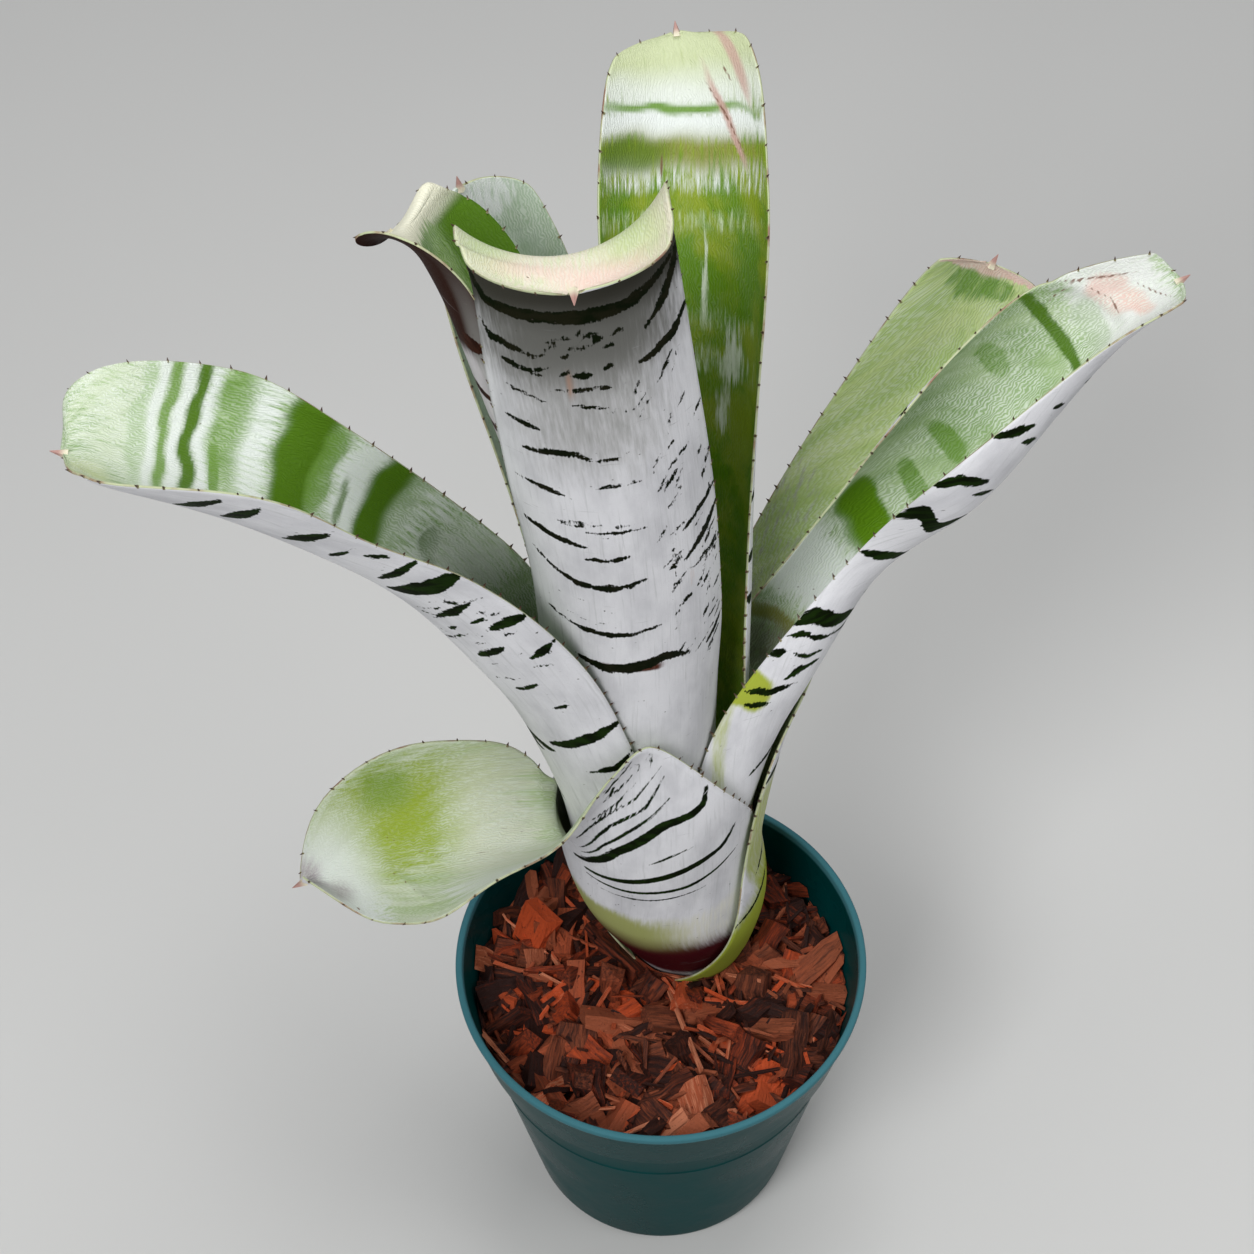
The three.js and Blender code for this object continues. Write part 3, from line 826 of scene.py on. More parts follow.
@dataclass
class Leaf:
    """One strap leaf, from its sheath in the bulb to its blunt tip.

    Its stations are rows of eight values: distance out from the plant's middle, distance aside,
    height, radius of the cross section, its opening angle, its roll, the turn of the leaf's
    direction, and how far the left margin is raised.
    """

    name: str
    slot: str
    azimuth: float  # direction in which it leaves the plant
    layer: int  # layer of its sheath, 0 outermost
    spread: float  # how far the sheath stands off its layer
    wraps: tuple[float, ...]  # opening angle at each ring of the bulb
    turns: tuple[float, ...]  # turn at each ring of the bulb
    free: Spot  # stations between which it comes free of the bulb
    apex: float  # share of its length where the tip starts to round
    blade: tuple[tuple[float, ...], ...]  # stations past the bulb
    inner: InnerSkin
    outer: OuterSkin = OuterSkin("silver_scurf")
    margin: MarginSkin = MarginSkin()
    lift: float = 0.0
    strokes: tuple[Stroke, ...] = ()
    rules: tuple[StrokeRule, ...] = ()
    outer_patches: tuple[Patch, ...] = ()
    inner_patches: tuple[Patch, ...] = ()
    inner_marks: tuple[Stroke, ...] = ()
    creases: tuple[Crease, ...] = ()
    bulb: Bulb = Bulb()
    wave: Wave = Wave()
    wander: Wander = Wander()
    spine_row: SpineRow = SpineRow()
    thickness: float = 1.0
    edge_share: float = 0.7  # thickness of the margin, as a share
    edge_power: int = 4  # how near the margin the blade gets thinner
    tip_narrowing: float = 0.985
    row_pitch: float = 1.25
    tip_rows: int = 16
    columns: int = 56
    samples: int = 400  # places where the length is measured
    brush_taper: float = 0.65
    steps_per_point: int = 6
    bare: float = -4.0  # depth of ink far from every stroke
    ink_reach: float = 14.0  # length searched past a stroke's ends
    patch_power: int = 3  # 2 makes a patch round, more makes it square
    least_cover: float = 1e-3
    dark_from: float = 0.12  # inner patches darker than this stay free of frost
    dark_to: float = 0.40
    _sections: list[Section] = field(init=False, repr=False, default_factory=list)
    _run: np.ndarray = field(init=False, repr=False, default=None)
    _half: np.ndarray = field(init=False, repr=False, default=None)

    def stations(self) -> np.ndarray:
        """Stations of the whole leaf: its share of the bulb, then its blade.

        Returns:
            One row of eight values for each station.
        """
        rows = []
        for index, (height, radius) in enumerate(self.bulb.rings):
            own = radius - self.layer * self.bulb.pitch + self.spread
            lift = self.lift if index == len(self.bulb.rings) - 1 else 0.0
            rows.append((own, 0.0, height, own, self.wraps[index], 0.0, self.turns[index], lift))
        return np.array([*rows, *self.blade], float)

    @staticmethod
    def through(stations: np.ndarray, share: float) -> np.ndarray:
        """Value of the smooth curve through evenly spaced stations.

        Args:
            stations: One row of values for each station.
            share: Place on the curve, from 0 at the base to 1 at the tip.

        Returns:
            The row of values there.
        """
        last = len(stations) - 1
        place = min(max(share, 0.0), 1.0) * last
        index = min(int(place), last - 1)
        f = place - index
        here, after = stations[index], stations[index + 1]
        before = stations[index - 1] if index > 0 else 2 * here - after
        beyond = stations[index + 2] if index < last - 1 else 2 * after - here
        rise = (after - before) * f
        bend = (2 * before - 5 * here + 4 * after - beyond) * f * f
        twist = (3 * here - before - 3 * after + beyond) * f * f * f
        return 0.5 * (2 * here + rise + bend + twist)

    def middle_line(self, station: np.ndarray) -> tuple[np.ndarray, np.ndarray, np.ndarray]:
        """Middle line of the leaf at a station.

        Args:
            station: Values of the station.

        Returns:
            The point, the outward direction and the direction to the left.
        """
        out, aside, height, _, _, _, turn, _ = station
        angle = math.radians(self.azimuth + turn)
        outward = np.array([math.cos(angle), math.sin(angle), 0.0])
        left = np.array([-math.sin(angle), math.cos(angle), 0.0])
        return self.bulb.centre(height) + outward * out + left * aside, outward, left

    def section(self, stations: np.ndarray, share: float) -> Section:
        """Cross section of the leaf: level in the bulb, square to the leaf in the blade.

        Args:
            stations: The leaf's stations.
            share: Place along the leaf, from 0 to 1.

        Returns:
            The section's axes and sizes.
        """
        step = 2e-3
        station = self.through(stations, share)
        _, _, _, radius, opening, roll, _, lift = station
        middle, outward, left = self.middle_line(station)
        before = self.middle_line(self.through(stations, max(share - step, 0.0)))[0]
        after = self.middle_line(self.through(stations, min(share + step, 1.0)))[0]
        along = unit(after - before)
        across = unit(left - along * (along @ left))
        inward = np.cross(along, across)
        roll = math.radians(roll)
        rolled = across * math.cos(roll) + inward * math.sin(roll)
        rolled_in = inward * math.cos(roll) - across * math.sin(roll)
        last = len(stations) - 1
        blend = float(smooth_step(self.free[0] / last, self.free[1] / last, np.array(share)))
        b = unit(left * (1 - blend) + rolled * blend)
        n = outward * (blend - 1) + rolled_in * blend
        n = unit(n - b * (n @ b))
        tip = max((share - self.apex) / (1 - self.apex), 0.0)
        width = math.sqrt(max(1 - self.tip_narrowing * tip * tip, 0.0))
        return Section(middle, along, b, n, radius, math.radians(opening) / 2 * width, lift)

    def lay_rows(self) -> None:
        """Place the rows of the mesh: even along the leaf, then closer round the tip."""
        stations = self.stations()
        shares = np.linspace(0, 1, self.samples)
        trio = np.array([-1.0, 0.0, 1.0])
        lines = np.array([self.section(stations, s).points(trio, np.zeros(3)) for s in shares])
        steps = np.linalg.norm(np.diff(lines, axis=0), axis=2)
        run = np.concatenate([[0], np.cumsum(steps[:, 1])])
        longest = np.concatenate([[0], np.cumsum(steps.max(axis=1))])
        straight = float(np.interp(self.apex, shares, longest))
        count = int(straight / self.row_pitch)
        even = np.interp(np.linspace(0, straight, count + 1), longest, shares)
        turn = np.arange(1, self.tip_rows + 1) / self.tip_rows
        round_tip = self.apex + (1 - self.apex) * np.sin(turn * math.pi / 2)
        places = np.concatenate([even, round_tip])
        self._sections = [self.section(stations, float(s)) for s in places]
        self._run = np.interp(places, shares, run)
        self._half = np.array([section.radius * section.half_angle for section in self._sections])

    def half_at(self, s: float) -> float:
        """Half width of the leaf at a distance from its base."""
        return float(np.interp(s, self._run, self._half))

    def relief(self, u: np.ndarray, x: np.ndarray) -> np.ndarray:
        """Height of the slow waves and creases on the outer face.

        Args:
            u: Share of half width at each point.
            x: Distance from the midrib at each point.

        Returns:
            The height, outwards, in millimetres.
        """
        wave = self.wave
        free = smooth_step(*wave.start, self._run)[:, None]
        swell = np.array([
            [noise.noise(Vector((s / wave.length, c * wave.across, self.azimuth))) for c in u[0]]
            for s in self._run
        ])
        height = wave.height * free * (wave.middle + wave.edge * u * u) * swell
        for crease in self.creases:
            height -= crease.depth * np.exp(-(self.gap(x, crease.points) / crease.width) ** 2)
        return height

    def gap(self, x: np.ndarray, points: tuple[Spot, ...]) -> np.ndarray:
        """Distance over the leaf from a line of points.

        Args:
            x: Distance from the midrib at each point of the leaf.
            points: Points of the line, as length and share of half width.

        Returns:
            The distance at each point.
        """
        y = np.broadcast_to(self._run[:, None], x.shape)
        spots = [np.array([u * self.half_at(s), s]) for s, u in points]
        least = np.full(x.shape, np.inf)
        for a, b in zip(spots, spots[1:]):
            d = b - a
            t = np.clip(((x - a[0]) * d[0] + (y - a[1]) * d[1]) / max(float(d @ d), TINY), 0, 1)
            least = np.minimum(least, np.hypot(x - a[0] - d[0] * t, y - a[1] - d[1] * t))
        return least

    def trace(self, points: np.ndarray, spots: tuple[Spot, ...]) -> np.ndarray:
        """Follow a line over the leaf.

        Args:
            points: Points of the outer face, by row and column.
            spots: Points of the line, as length and share of half width.

        Returns:
            Closely spaced points in space, in millimetres.
        """
        run = self._run
        last = len(spots) - 1
        pieces = np.linspace(0, last, self.steps_per_point * last + 1)
        s, u = np.array(spots).T
        row = np.interp(np.interp(pieces, range(len(spots)), s), run, range(len(run)))
        across = np.clip(np.interp(pieces, range(len(spots)), u), -1, 1)
        column = (across + 1) / 2 * self.columns
        i = np.minimum(row.astype(int), len(run) - 2)
        j = np.minimum(column.astype(int), self.columns - 1)
        f = (row - i)[:, None]
        g = (column - j)[:, None]
        low = points[i, j] * (1 - g) + points[i, j + 1] * g
        high = points[i + 1, j] * (1 - g) + points[i + 1, j + 1] * g
        return low * (1 - f) + high * f

    def ink(self, points: np.ndarray, strokes: tuple[Stroke, ...]) -> np.ndarray:
        """Work out how deep each point lies inside the nearest stroke.

        Args:
            points: Points of the outer face, by row and column.
            strokes: The strokes.

        Returns:
            The depth in millimetres, below 0 outside.
        """
        deepest = np.full(points.shape[:2], self.bare)
        for stroke in strokes:
            line = self.trace(points, stroke.points)
            lengths = [s for s, _ in stroke.points]
            ends = (min(lengths) - self.ink_reach, max(lengths) + self.ink_reach)
            rows = slice(*np.searchsorted(self._run, ends))
            near = points[rows]
            count = len(line) - 1
            for index, (a, b) in enumerate(zip(line, line[1:])):
                d = b - a
                t = np.clip((near - a) @ d / max(float(d @ d), TINY), 0, 1)
                gap = np.linalg.norm(near - a - t[..., None] * d, axis=-1)
                swell = np.sin(math.pi * (index + t) / count)
                brush = stroke.width / 2 * (1 - self.brush_taper + self.brush_taper * swell)
                deepest[rows] = np.maximum(deepest[rows], brush - gap)
        return deepest

    def tint(self, x: np.ndarray, wander: np.ndarray, patches: tuple[Patch, ...]) -> np.ndarray:
        """Lay soft patches of colour over each other.

        Args:
            x: Distance from the midrib at each point.
            wander: How far the patches' edges are shifted at each point.
            patches: The patches, the last on top.

        Returns:
            Red, green, blue and cover at each point.
        """
        y = self._run[:, None] + wander
        colour = np.zeros((*x.shape, 3))
        cover = np.zeros((*x.shape, 1))
        power = self.patch_power
        for patch in patches:
            s, u = patch.middle
            a = x - u * self.half_at(s)
            b = y - s - patch.lean * a
            reach = np.abs(b / patch.size[0]) ** power + np.abs(a / patch.size[1]) ** power
            outside = smooth_step(1 - patch.soft, 1 + patch.soft, reach ** (1 / power))
            share = patch.cover * (1 - outside)[..., None]
            colour = colour * (1 - share) + np.array(patch.colour) * share
            cover = cover * (1 - share) + share
        plain = np.array(patches[0].colour) if patches else np.zeros(3)
        least = self.least_cover
        colour = np.where(cover > least, colour / np.maximum(cover, least), plain)
        return np.concatenate([colour, cover], -1)

    def markings(self, x: np.ndarray, points: np.ndarray) -> tuple[Marking, ...]:
        """Work out what the finishes read at each point of the leaf.

        Args:
            x: Distance from the midrib at each point.
            points: Points of the outer face, by row and column.

        Returns:
            Name, kind and values of each attribute.
        """
        steps = np.linalg.norm(np.diff(points, axis=0), axis=2)
        length = np.concatenate([np.zeros((1, self.columns + 1)), np.cumsum(steps, axis=0)])
        pattern = self.wander
        wander = pattern.reach * np.array([
            [
                noise.noise(Vector((a / pattern.across, b / pattern.along, self.azimuth)))
                for a, b in zip(*pair)
            ]
            for pair in zip(x, length)
        ])
        strokes = (*self.strokes, *(stroke for rule in self.rules for stroke in rule.strokes()))
        tint_in = self.tint(x, wander, self.inner_patches)
        dark = 1.0 - smooth_step(self.dark_from, self.dark_to, tint_in[..., :3].mean(-1))
        return (
            ("leafco", "vector", np.stack([x, length, np.full(x.shape, self.azimuth)], -1)),
            ("ink_out", "value", self.ink(points, strokes)),
            ("ink_in", "value", self.ink(points, self.inner_marks)),
            ("frost_in", "value", 1.0 - tint_in[..., 3] * dark),
            ("tint_out", "color", self.tint(x, wander, self.outer_patches)),
            ("tint_in", "color", tint_in),
        )

    def flat_grid(self, rows: int) -> tuple[bpy.types.Mesh, np.ndarray, np.ndarray]:
        """Make the flat grid that is bent to the leaf.

        Args:
            rows: Number of faces along the leaf.

        Returns:
            The mesh, and the row and the column of each of its points.
        """
        shell = bmesh.new()
        bmesh.ops.create_grid(shell, x_segments=self.columns, y_segments=rows, size=1.0)
        for face in shell.faces:
            face.smooth = True
        mesh = bpy.data.meshes.new(self.name)
        shell.to_mesh(mesh)
        shell.free()
        flat = np.zeros(len(mesh.vertices) * 3)
        mesh.vertices.foreach_get("co", flat)
        x, y, _ = flat.reshape(-1, 3).T
        row = np.rint((y + 1) / 2 * rows).astype(int)
        column = np.rint((x + 1) / 2 * self.columns).astype(int)
        return mesh, row, column

    def thicken(self, leaf: bpy.types.Object, column: np.ndarray, u: np.ndarray) -> None:
        """Give the leaf its thickness inwards, thinner at the margins.

        Args:
            leaf: The leaf as a sheet.
            column: Column of each of its points.
            u: Share of half width of each column.
        """
        group = leaf.vertex_groups.new(name="thick")
        for index, share in enumerate(u ** self.edge_power):
            group.add(np.nonzero(column == index)[0].tolist(), 1.0 - float(share), "REPLACE")
        body = leaf.modifiers.new("thickness", "SOLIDIFY")
        body.thickness = self.thickness * MM
        body.offset = -1.0
        body.vertex_group = group.name
        body.thickness_vertex_group = self.edge_share
        body.material_offset = 1
        body.material_offset_rim = 2

    def sheet(self) -> bpy.types.Object:
        """Make the leaf's mesh: a grid bent along its sections, marked and thickened.

        Returns:
            The leaf without its spines.
        """
        self.lay_rows()
        mesh, row, column = self.flat_grid(len(self._run) - 1)
        line = np.linspace(-1, 1, self.columns + 1)
        u = np.broadcast_to(line, (len(self._run), self.columns + 1))
        x = u * self._half[:, None]
        height = self.relief(u, x)
        points = np.array([s.points(line, height[i]) for i, s in enumerate(self._sections)])
        mesh.vertices.foreach_set("co", (points[row, column] * MM).ravel())
        kinds = {"value": "FLOAT", "vector": "FLOAT_VECTOR", "color": "FLOAT_COLOR"}
        for name, key, values in self.markings(x, points):
            layer = mesh.attributes.new(name, kinds[key], "POINT")
            layer.data.foreach_set(key, values[row, column].astype(np.float32).ravel())
        leaf = bpy.data.objects.new(self.name + "_blade", mesh)
        bpy.context.scene.collection.objects.link(leaf)
        self.thicken(leaf, column, line)
        for finish in (self.outer, self.inner, self.margin):
            mesh.materials.append(material_of(finish))
        return leaf

    def spines(self) -> bpy.types.Object:
        """Make the small straight spines, leaning towards the tip, along both margins and the one
        at the tip.

        Returns:
            The leaf's spines as one piece.
        """
        bm = bmesh.new()
        bm.verts.layers.float.new("rise")
        bm.verts.layers.float.new("blush")
        source = random.Random(int(self.azimuth))
        rule = self.spine_row
        last = len(self._sections) - 1
        for side in (-1, 1):
            pair = np.array([side, side * rule.inside])
            level = np.full(2, rule.level)
            line = [section.points(pair, level) for section in self._sections]
            travelled = 0.0
            due = rule.pitch
            for i in range(int(rule.start * last), last):
                edge, inside = line[i]
                travelled += float(np.linalg.norm(line[i + 1][0] - edge))
                if travelled < due:
                    continue
                widening = rule.thin_from + rule.thinning * i / last
                due += rule.pitch * source.uniform(*rule.gaps) * widening
                along = line[i + 1][0] - line[i - 1][0]
                along /= max(float(np.linalg.norm(along)), TINY)
                out = edge - inside
                out -= along * (out @ along)
                out /= max(float(np.linalg.norm(out)), TINY)
                size = (rule.size_from - rule.shrink * i / last) * source.uniform(*rule.sizes)
                heading = out + along * source.uniform(*rule.leans)
                self.spine(bm, edge - out * rule.sunk, heading, size, 0.0)
        end = self._sections[-1]
        tip = end.points(np.array([0.0]), np.array([rule.tip_level]))[0]
        self.spine(bm, tip - end.along * rule.tip_sunk, end.along, rule.tip_size, 1.0)
        piece = piece_of(bm, self.name + "_spines")
        dress(piece, SpineSkin())
        return piece

    def spine(self, bm: bmesh.types.BMesh, root: np.ndarray, direction: np.ndarray, size: float,
              blush: float) -> None:
        """Add one tapering spine.

        Args:
            bm: The mesh that it is added to.
            root: Where it starts, in millimetres.
            direction: Where it points.
            size: Its size against a middling spine.
            blush: 1 for a pinkish spine, 0 for a brown one.
        """
        rule = self.spine_row
        length = rule.length * size
        heading = Vector(direction).normalized()
        turn = Vector((0, 0, 1)).rotation_difference(heading).to_matrix().to_4x4()
        middle = (Vector(root) + heading * length / 2) * MM
        made = bmesh.ops.create_cone(
            bm, cap_ends=True, cap_tris=False, segments=rule.sides,
            radius1=rule.radius * size * MM, radius2=rule.point * size * MM, depth=length * MM,
            matrix=Matrix.Translation(middle) @ turn,
        )["verts"]
        rise = bm.verts.layers.float["rise"]
        pink = bm.verts.layers.float["blush"]
        for vertex in made:
            vertex[rise] = 1.0 if (vertex.co - middle).dot(heading) > 0 else 0.0
            vertex[pink] = blush

    def build(self) -> None:
        """Make the leaf and its spines and set them on the frame."""
        place(self.sheet(), self.slot, self.name)
        spines = self.spines()
        place(spines, self.slot)
        count = len(spines.data.vertices)
        LOG.info("%s: %d rows, %d spine vertices", self.name, len(self._sections), count)


# ---------------------------------------------------------------------------
# Pot and bark
# ---------------------------------------------------------------------------


def rounded(corners: list[tuple[Spot, float]], steps: int = 5) -> list[Spot]:
    """Round the corners of a line of points.

    Args:
        corners: Each corner, and how far from it its rounding starts, 0 for a sharp one.
        steps: Points along each rounding.

    Returns:
        The points of the rounded line.
    """
    line: list[Spot] = []
    for index, (corner, cut) in enumerate(corners):
        if cut <= 0 or index in (0, len(corners) - 1):
            line.append(corner)
            continue
        here = Vector(corner)
        first = here + (Vector(corners[index - 1][0]) - here).normalized() * cut
        second = here + (Vector(corners[index + 1][0]) - here).normalized() * cut
        for k in range(steps + 1):
            t = k / steps
            spot = first * (1 - t) ** 2 + here * 2 * t * (1 - t) + second * t * t
            line.append((spot.x, spot.y))
    return line


def turned(name: str, line: list[Spot], steps: int) -> bpy.types.Object:
    """Spin a closed profile round the upright axis.

    Args:
        name: Name of the piece.
        line: Points of radius and height, from axis to axis.
        steps: Sides of the turned shape.

    Returns:
        The turned piece.
    """
    bm = bmesh.new()
    ring = [bm.verts.new((r * MM, 0.0, z * MM)) for r, z in line]
    edges = [bm.edges.new(pair) for pair in zip(ring, ring[1:])]
    bmesh.ops.spin(bm, geom=ring + edges, cent=(0, 0, 0), axis=(0, 0, 1), angle=math.tau,
                   steps=steps, use_merge=True)
    bmesh.ops.remove_doubles(bm, verts=bm.verts, dist=TINY)
    bmesh.ops.recalc_face_normals(bm, faces=bm.faces)
    for face in bm.faces:
        face.smooth = True
    return piece_of(bm, name)


@dataclass(frozen=True)
class Hole:
    """An upright round hole: its middle, radius, bottom and top, in millimetres."""

    x: float
    y: float
    radius: float
    bottom: float
    top: float


def drill(piece: bpy.types.Object, holes: list[Hole]) -> None:
    """Cut upright round holes through a piece.

    Args:
        piece: The piece that is cut.
        holes: The holes.
    """
    bm = bmesh.new()
    for hole in holes:
        spot = Vector((hole.x, hole.y, (hole.bottom + hole.top) / 2)) * MM
        bmesh.ops.create_cone(bm, cap_ends=True, segments=32, radius1=hole.radius * MM,
                              radius2=hole.radius * MM, depth=(hole.top - hole.bottom) * MM,
                              matrix=Matrix.Translation(spot))
    tool = piece_of(bm, "drill")
    cut = piece.modifiers.new("holes", "BOOLEAN")
    cut.operation = "DIFFERENCE"
    cut.solver = "EXACT"
    cut.object = tool
    bpy.context.view_layer.update()
    evaluated = piece.evaluated_get(bpy.context.evaluated_depsgraph_get())
    finished = bpy.data.meshes.new_from_object(evaluated)
    piece.modifiers.clear()
    piece.data = finished
    bpy.data.objects.remove(tool)


@dataclass
class Pot:
    """The thin nursery pot: tapered wall, stepped band, rolled rim and drain holes."""

    rim_radius: float = 79.5
    height: float = 136.0
    foot_radius: float = 53.0
    wall: float = 1.6
    bead: float = 2.6
    rim_height: float = 3.4
    inset: float = 0.7
    band: float = 30.0
    floor: float = 2.4
    foot_round: float = 5.0
    foot_recess: float = 0.6
    line: float = 88.0  # height of the moulded line round the wall
    line_depth: float = 0.5
    step: float = 2.0
    holes: int = 8
    hole_radius: float = 4.0
    hole_circle: float = 38.0
    hole_bottom: float = -2.0
    hole_top: float = 6.0
    sides: int = 160

    def wall_radius(self, height: float) -> float:
        """Outer radius of the tapered wall at a height."""
        mouth = self.rim_radius - self.bead
        return self.foot_radius + (mouth - self.foot_radius) / self.height * height

    def profile(self) -> list[Spot]:
        """Make the pot's section, from the middle of its foot round to the middle of its floor.

        Returns:
            The section's points, as radius and height.
        """
        low = self.height - self.band
        top = self.height
        rim = self.rim_radius
        out = self.wall_radius
        foot = self.foot_round
        foot_inside = out(0) - foot
        line = self.line
        under_rim = top - self.rim_height
        return rounded([
            ((0.0, self.foot_recess), 0.0), ((foot_inside - 6.0, self.foot_recess), 0.8),
            ((foot_inside - 5.0, 0.0), 0.4), ((out(0) - 1.2, 0.0), 3.6), ((out(foot), foot), 1.5),
            ((out(line), line), 0.4), ((out(line) + self.line_depth, line + 0.8), 0.3),
            ((out(line + 2.0), line + 2.2), 0.4),
            ((out(low), low), 0.6), ((out(low) + self.step, low + 1.0), 0.8),
            ((rim - self.inset, under_rim), 0.4), ((rim, under_rim + self.inset), 0.6),
            ((rim, top), 1.1), ((rim - self.bead, top), 1.0),
            ((out(low) + self.step - self.wall, low + 2.0), 1.0),
            ((out(low) - self.wall, low - 1.0), 1.0),
            ((out(foot) - self.wall, self.floor + foot), 2.0),
            ((foot_inside - self.wall, self.floor), 2.0), ((0.0, self.floor), 0.0),
        ])

    def build(self) -> None:
        """Make the pot and set it on the frame."""
        pot = turned("nursery_pot", self.profile(), self.sides)
        circle = self.hole_circle
        turns = [i * (math.tau / self.holes) for i in range(self.holes)]
        drill(pot, [
            Hole(circle * math.cos(turn), circle * math.sin(turn), self.hole_radius,
                 self.hole_bottom, self.hole_top)
            for turn in turns
        ])
        dress(pot, PotPlastic())
        place(pot, "pot_plastic", "pot")
        LOG.info("pot: %d faces", len(pot.data.polygons))


class ChipKind(Enum):
    """Kinds of bark piece: limits of its three sizes in millimetres, and how far it tips over."""

    CHUNK = ((14, 36), (8, 16), (5, 10), 0.45)
    FLAKE = ((12, 28), (5, 12), (1.4, 2.8), 0.30)
    SLIVER = ((16, 42), (1.0, 2.6), (0.8, 1.8), 0.30)


@dataclass
class Bark:
    """The pot's filling: a solid bed with a heap of chips, flakes and slivers on it.

    A chip's layer runs from 0 at the bottom of the heap to 1 on top of it. Chips low in the heap
    and the bed are given a darker tone, as painted shade in the gaps.
    """

    pot: Pot
    bed: float = 106.0
    bed_sides: int = 96
    # Tone of the bed, dark as painted shade seen through the gaps between chips.
    bed_shaded_tone: float = 0.15
    gap: float = 0.4  # between the filling and the pot
    stem: Spot = (10.0, 25.0)
    stem_clear: float = 19.2  # radius that stays free round the plant
    bulb_from: float = 105.0
    bulb_flare: float = 0.38  # what that radius gains per millimetre of height
    hole_radius: float = 27.4
    hole_bottom: float = 99.0
    hole_top: float = 130.0
    stem_radius: float = 8.4
    stem_bottom: float = 92.0
    stem_top: float = 105.0
    heap: float = 110.6  # height of the heap far from the plant
    mound: float = 3.2  # what it rises round the plant
    mound_reach: float = 34.0
    lump: float = 4.0
    lump_size: float = 15.0
    pile: float = 5.0  # depth of the heap
    sunk: float = 3.0
    scatter: float = 2.0  # how far a chip's place is shifted sideways
    bounce: float = 1.5  # and up or down
    count: int = 820
    reach: float = 71.2  # of the chips' places from the middle
    spread_out: float = 0.7548777  # steps that spread any number of chips evenly
    spread_round: float = 0.5698403
    mixture: tuple[Spot, ...] = ((5, -4), (4, -3), (1, 14))  # share of each kind, and its rise
    tones: tuple[float, ...] = (0.0, 0.15, 0.3, 0.55, 0.85, 1.05)
    # The tone is scaled from this share at the bottom of the heap, rising by the next one to its
    # top: painted shade on the low chips.
    shaded_tone_least: float = 0.35
    shaded_tone_rise: float = 0.75
    tone_spread: float = 0.06
    squash: float = 0.38  # how much thinner one end of a chip may be
    taper: float = 0.15  # how much shorter one side may be
    bend: float = 0.10
    roll: float = 0.8
    grain_shift: float = 60.0
    rough_across: float = 0.16
    rough_up: float = 0.2
    cuts: int = 3
    seed: int = 11
    _tone: object = field(init=False, repr=False, default=None)
    _grain: object = field(init=False, repr=False, default=None)

    def inner_radius(self, height: float) -> float:
        """Radius of the pot's inside at a height, less the gap.

        Args:
            height: Where it is measured.

        Returns:
            The radius.
        """
        low = self.pot.height - self.pot.band
        step = self.pot.step * float(smooth_step(low - 1, low + 2, np.array(height)))
        return self.pot.wall_radius(height) + step - self.pot.wall - self.gap

    def bulb_radius(self, height: float) -> float:
        """Outer radius of the leaf bases at a height."""
        return self.stem_clear + max(height - self.bulb_from, 0.0) * self.bulb_flare

    def surface(self, x: float, y: float) -> float:
        """Height of the heap, a little raised round the plant and uneven elsewhere.

        Args:
            x: Where it is measured.
            y: Where it is measured.

        Returns:
            The height.
        """
        away = math.hypot(x - self.stem[0], y - self.stem[1])
        near = math.exp(-((away / self.mound_reach) ** 2))
        lump = noise.noise(Vector((x / self.lump_size, y / self.lump_size, 3.0)))
        return self.heap + self.mound * near + self.lump * lump

    def chip(self, bm: bmesh.types.BMesh, source: random.Random, kind: ChipKind, spot: Vector,
             tone: float) -> None:
        """Add one broken piece of bark.

        Args:
            bm: The mesh that it is added to.
            source: Where its random numbers come from.
            kind: What kind of piece it is.
            spot: Its middle, in millimetres.
            tone: How light it is.
        """
        *limits, tilt = kind.value
        size = [source.uniform(*pair) for pair in limits]
        first = len(bm.verts)
        made = bmesh.ops.create_cube(bm, size=1.0)["verts"]
        for vertex in made:
            co = vertex.co
            pinch = 1 - self.squash + self.squash * source.random()
            short = 1 - self.taper + self.taper * source.random()
            vertex.co = (co.x * size[0] * short, co.y * size[1] * pinch, co.z * size[2] * pinch)
        long_edges = {
            edge for vertex in made for edge in vertex.link_edges
            if abs(edge.verts[0].co.x - edge.verts[1].co.x) > size[0] * 0.5
        }
        bmesh.ops.subdivide_edges(bm, edges=list(long_edges), cuts=self.cuts, use_grid_fill=True)
        bm.verts.ensure_lookup_table()
        bend = source.uniform(-self.bend, self.bend)
        shift = self.grain_shift
        offset = Vector([source.uniform(-shift, shift) for _ in range(3)])
        turn = Matrix.Rotation(source.uniform(0, math.tau), 3, "Z")
        turn = turn @ Matrix.Rotation(source.gauss(0, tilt), 3, "Y")
        turn = turn @ Matrix.Rotation(source.gauss(0, self.roll), 3, "X")
        for vertex in bm.verts[first:]:
            co = vertex.co
            vertex[self._grain] = co + offset
            vertex[self._tone] = tone
            co.y *= 1 + source.uniform(-self.rough_across, self.rough_across)
            swell = 1 + source.uniform(-self.rough_up, self.rough_up)
            co.z = co.z * swell + bend * co.x * co.x / size[0]
            vertex.co = self.hold(turn @ co + spot) * MM

    def hold(self, point: Vector) -> Vector:
        """Keep a point inside the pot and off the plant.

        Args:
            point: The point, in millimetres.

        Returns:
            The point, moved level where it has to be.
        """
        reach = math.hypot(point.x, point.y)
        most = self.inner_radius(point.z) - self.gap
        if reach > most:
            point = Vector((point.x * most / reach, point.y * most / reach, point.z))
        away = Vector((point.x - self.stem[0], point.y - self.stem[1]))
        least = self.bulb_radius(point.z)
        if away.length < least:
            away = away.normalized() * least
            point = Vector((self.stem[0] + away.x, self.stem[1] + away.y, point.z))
        return point

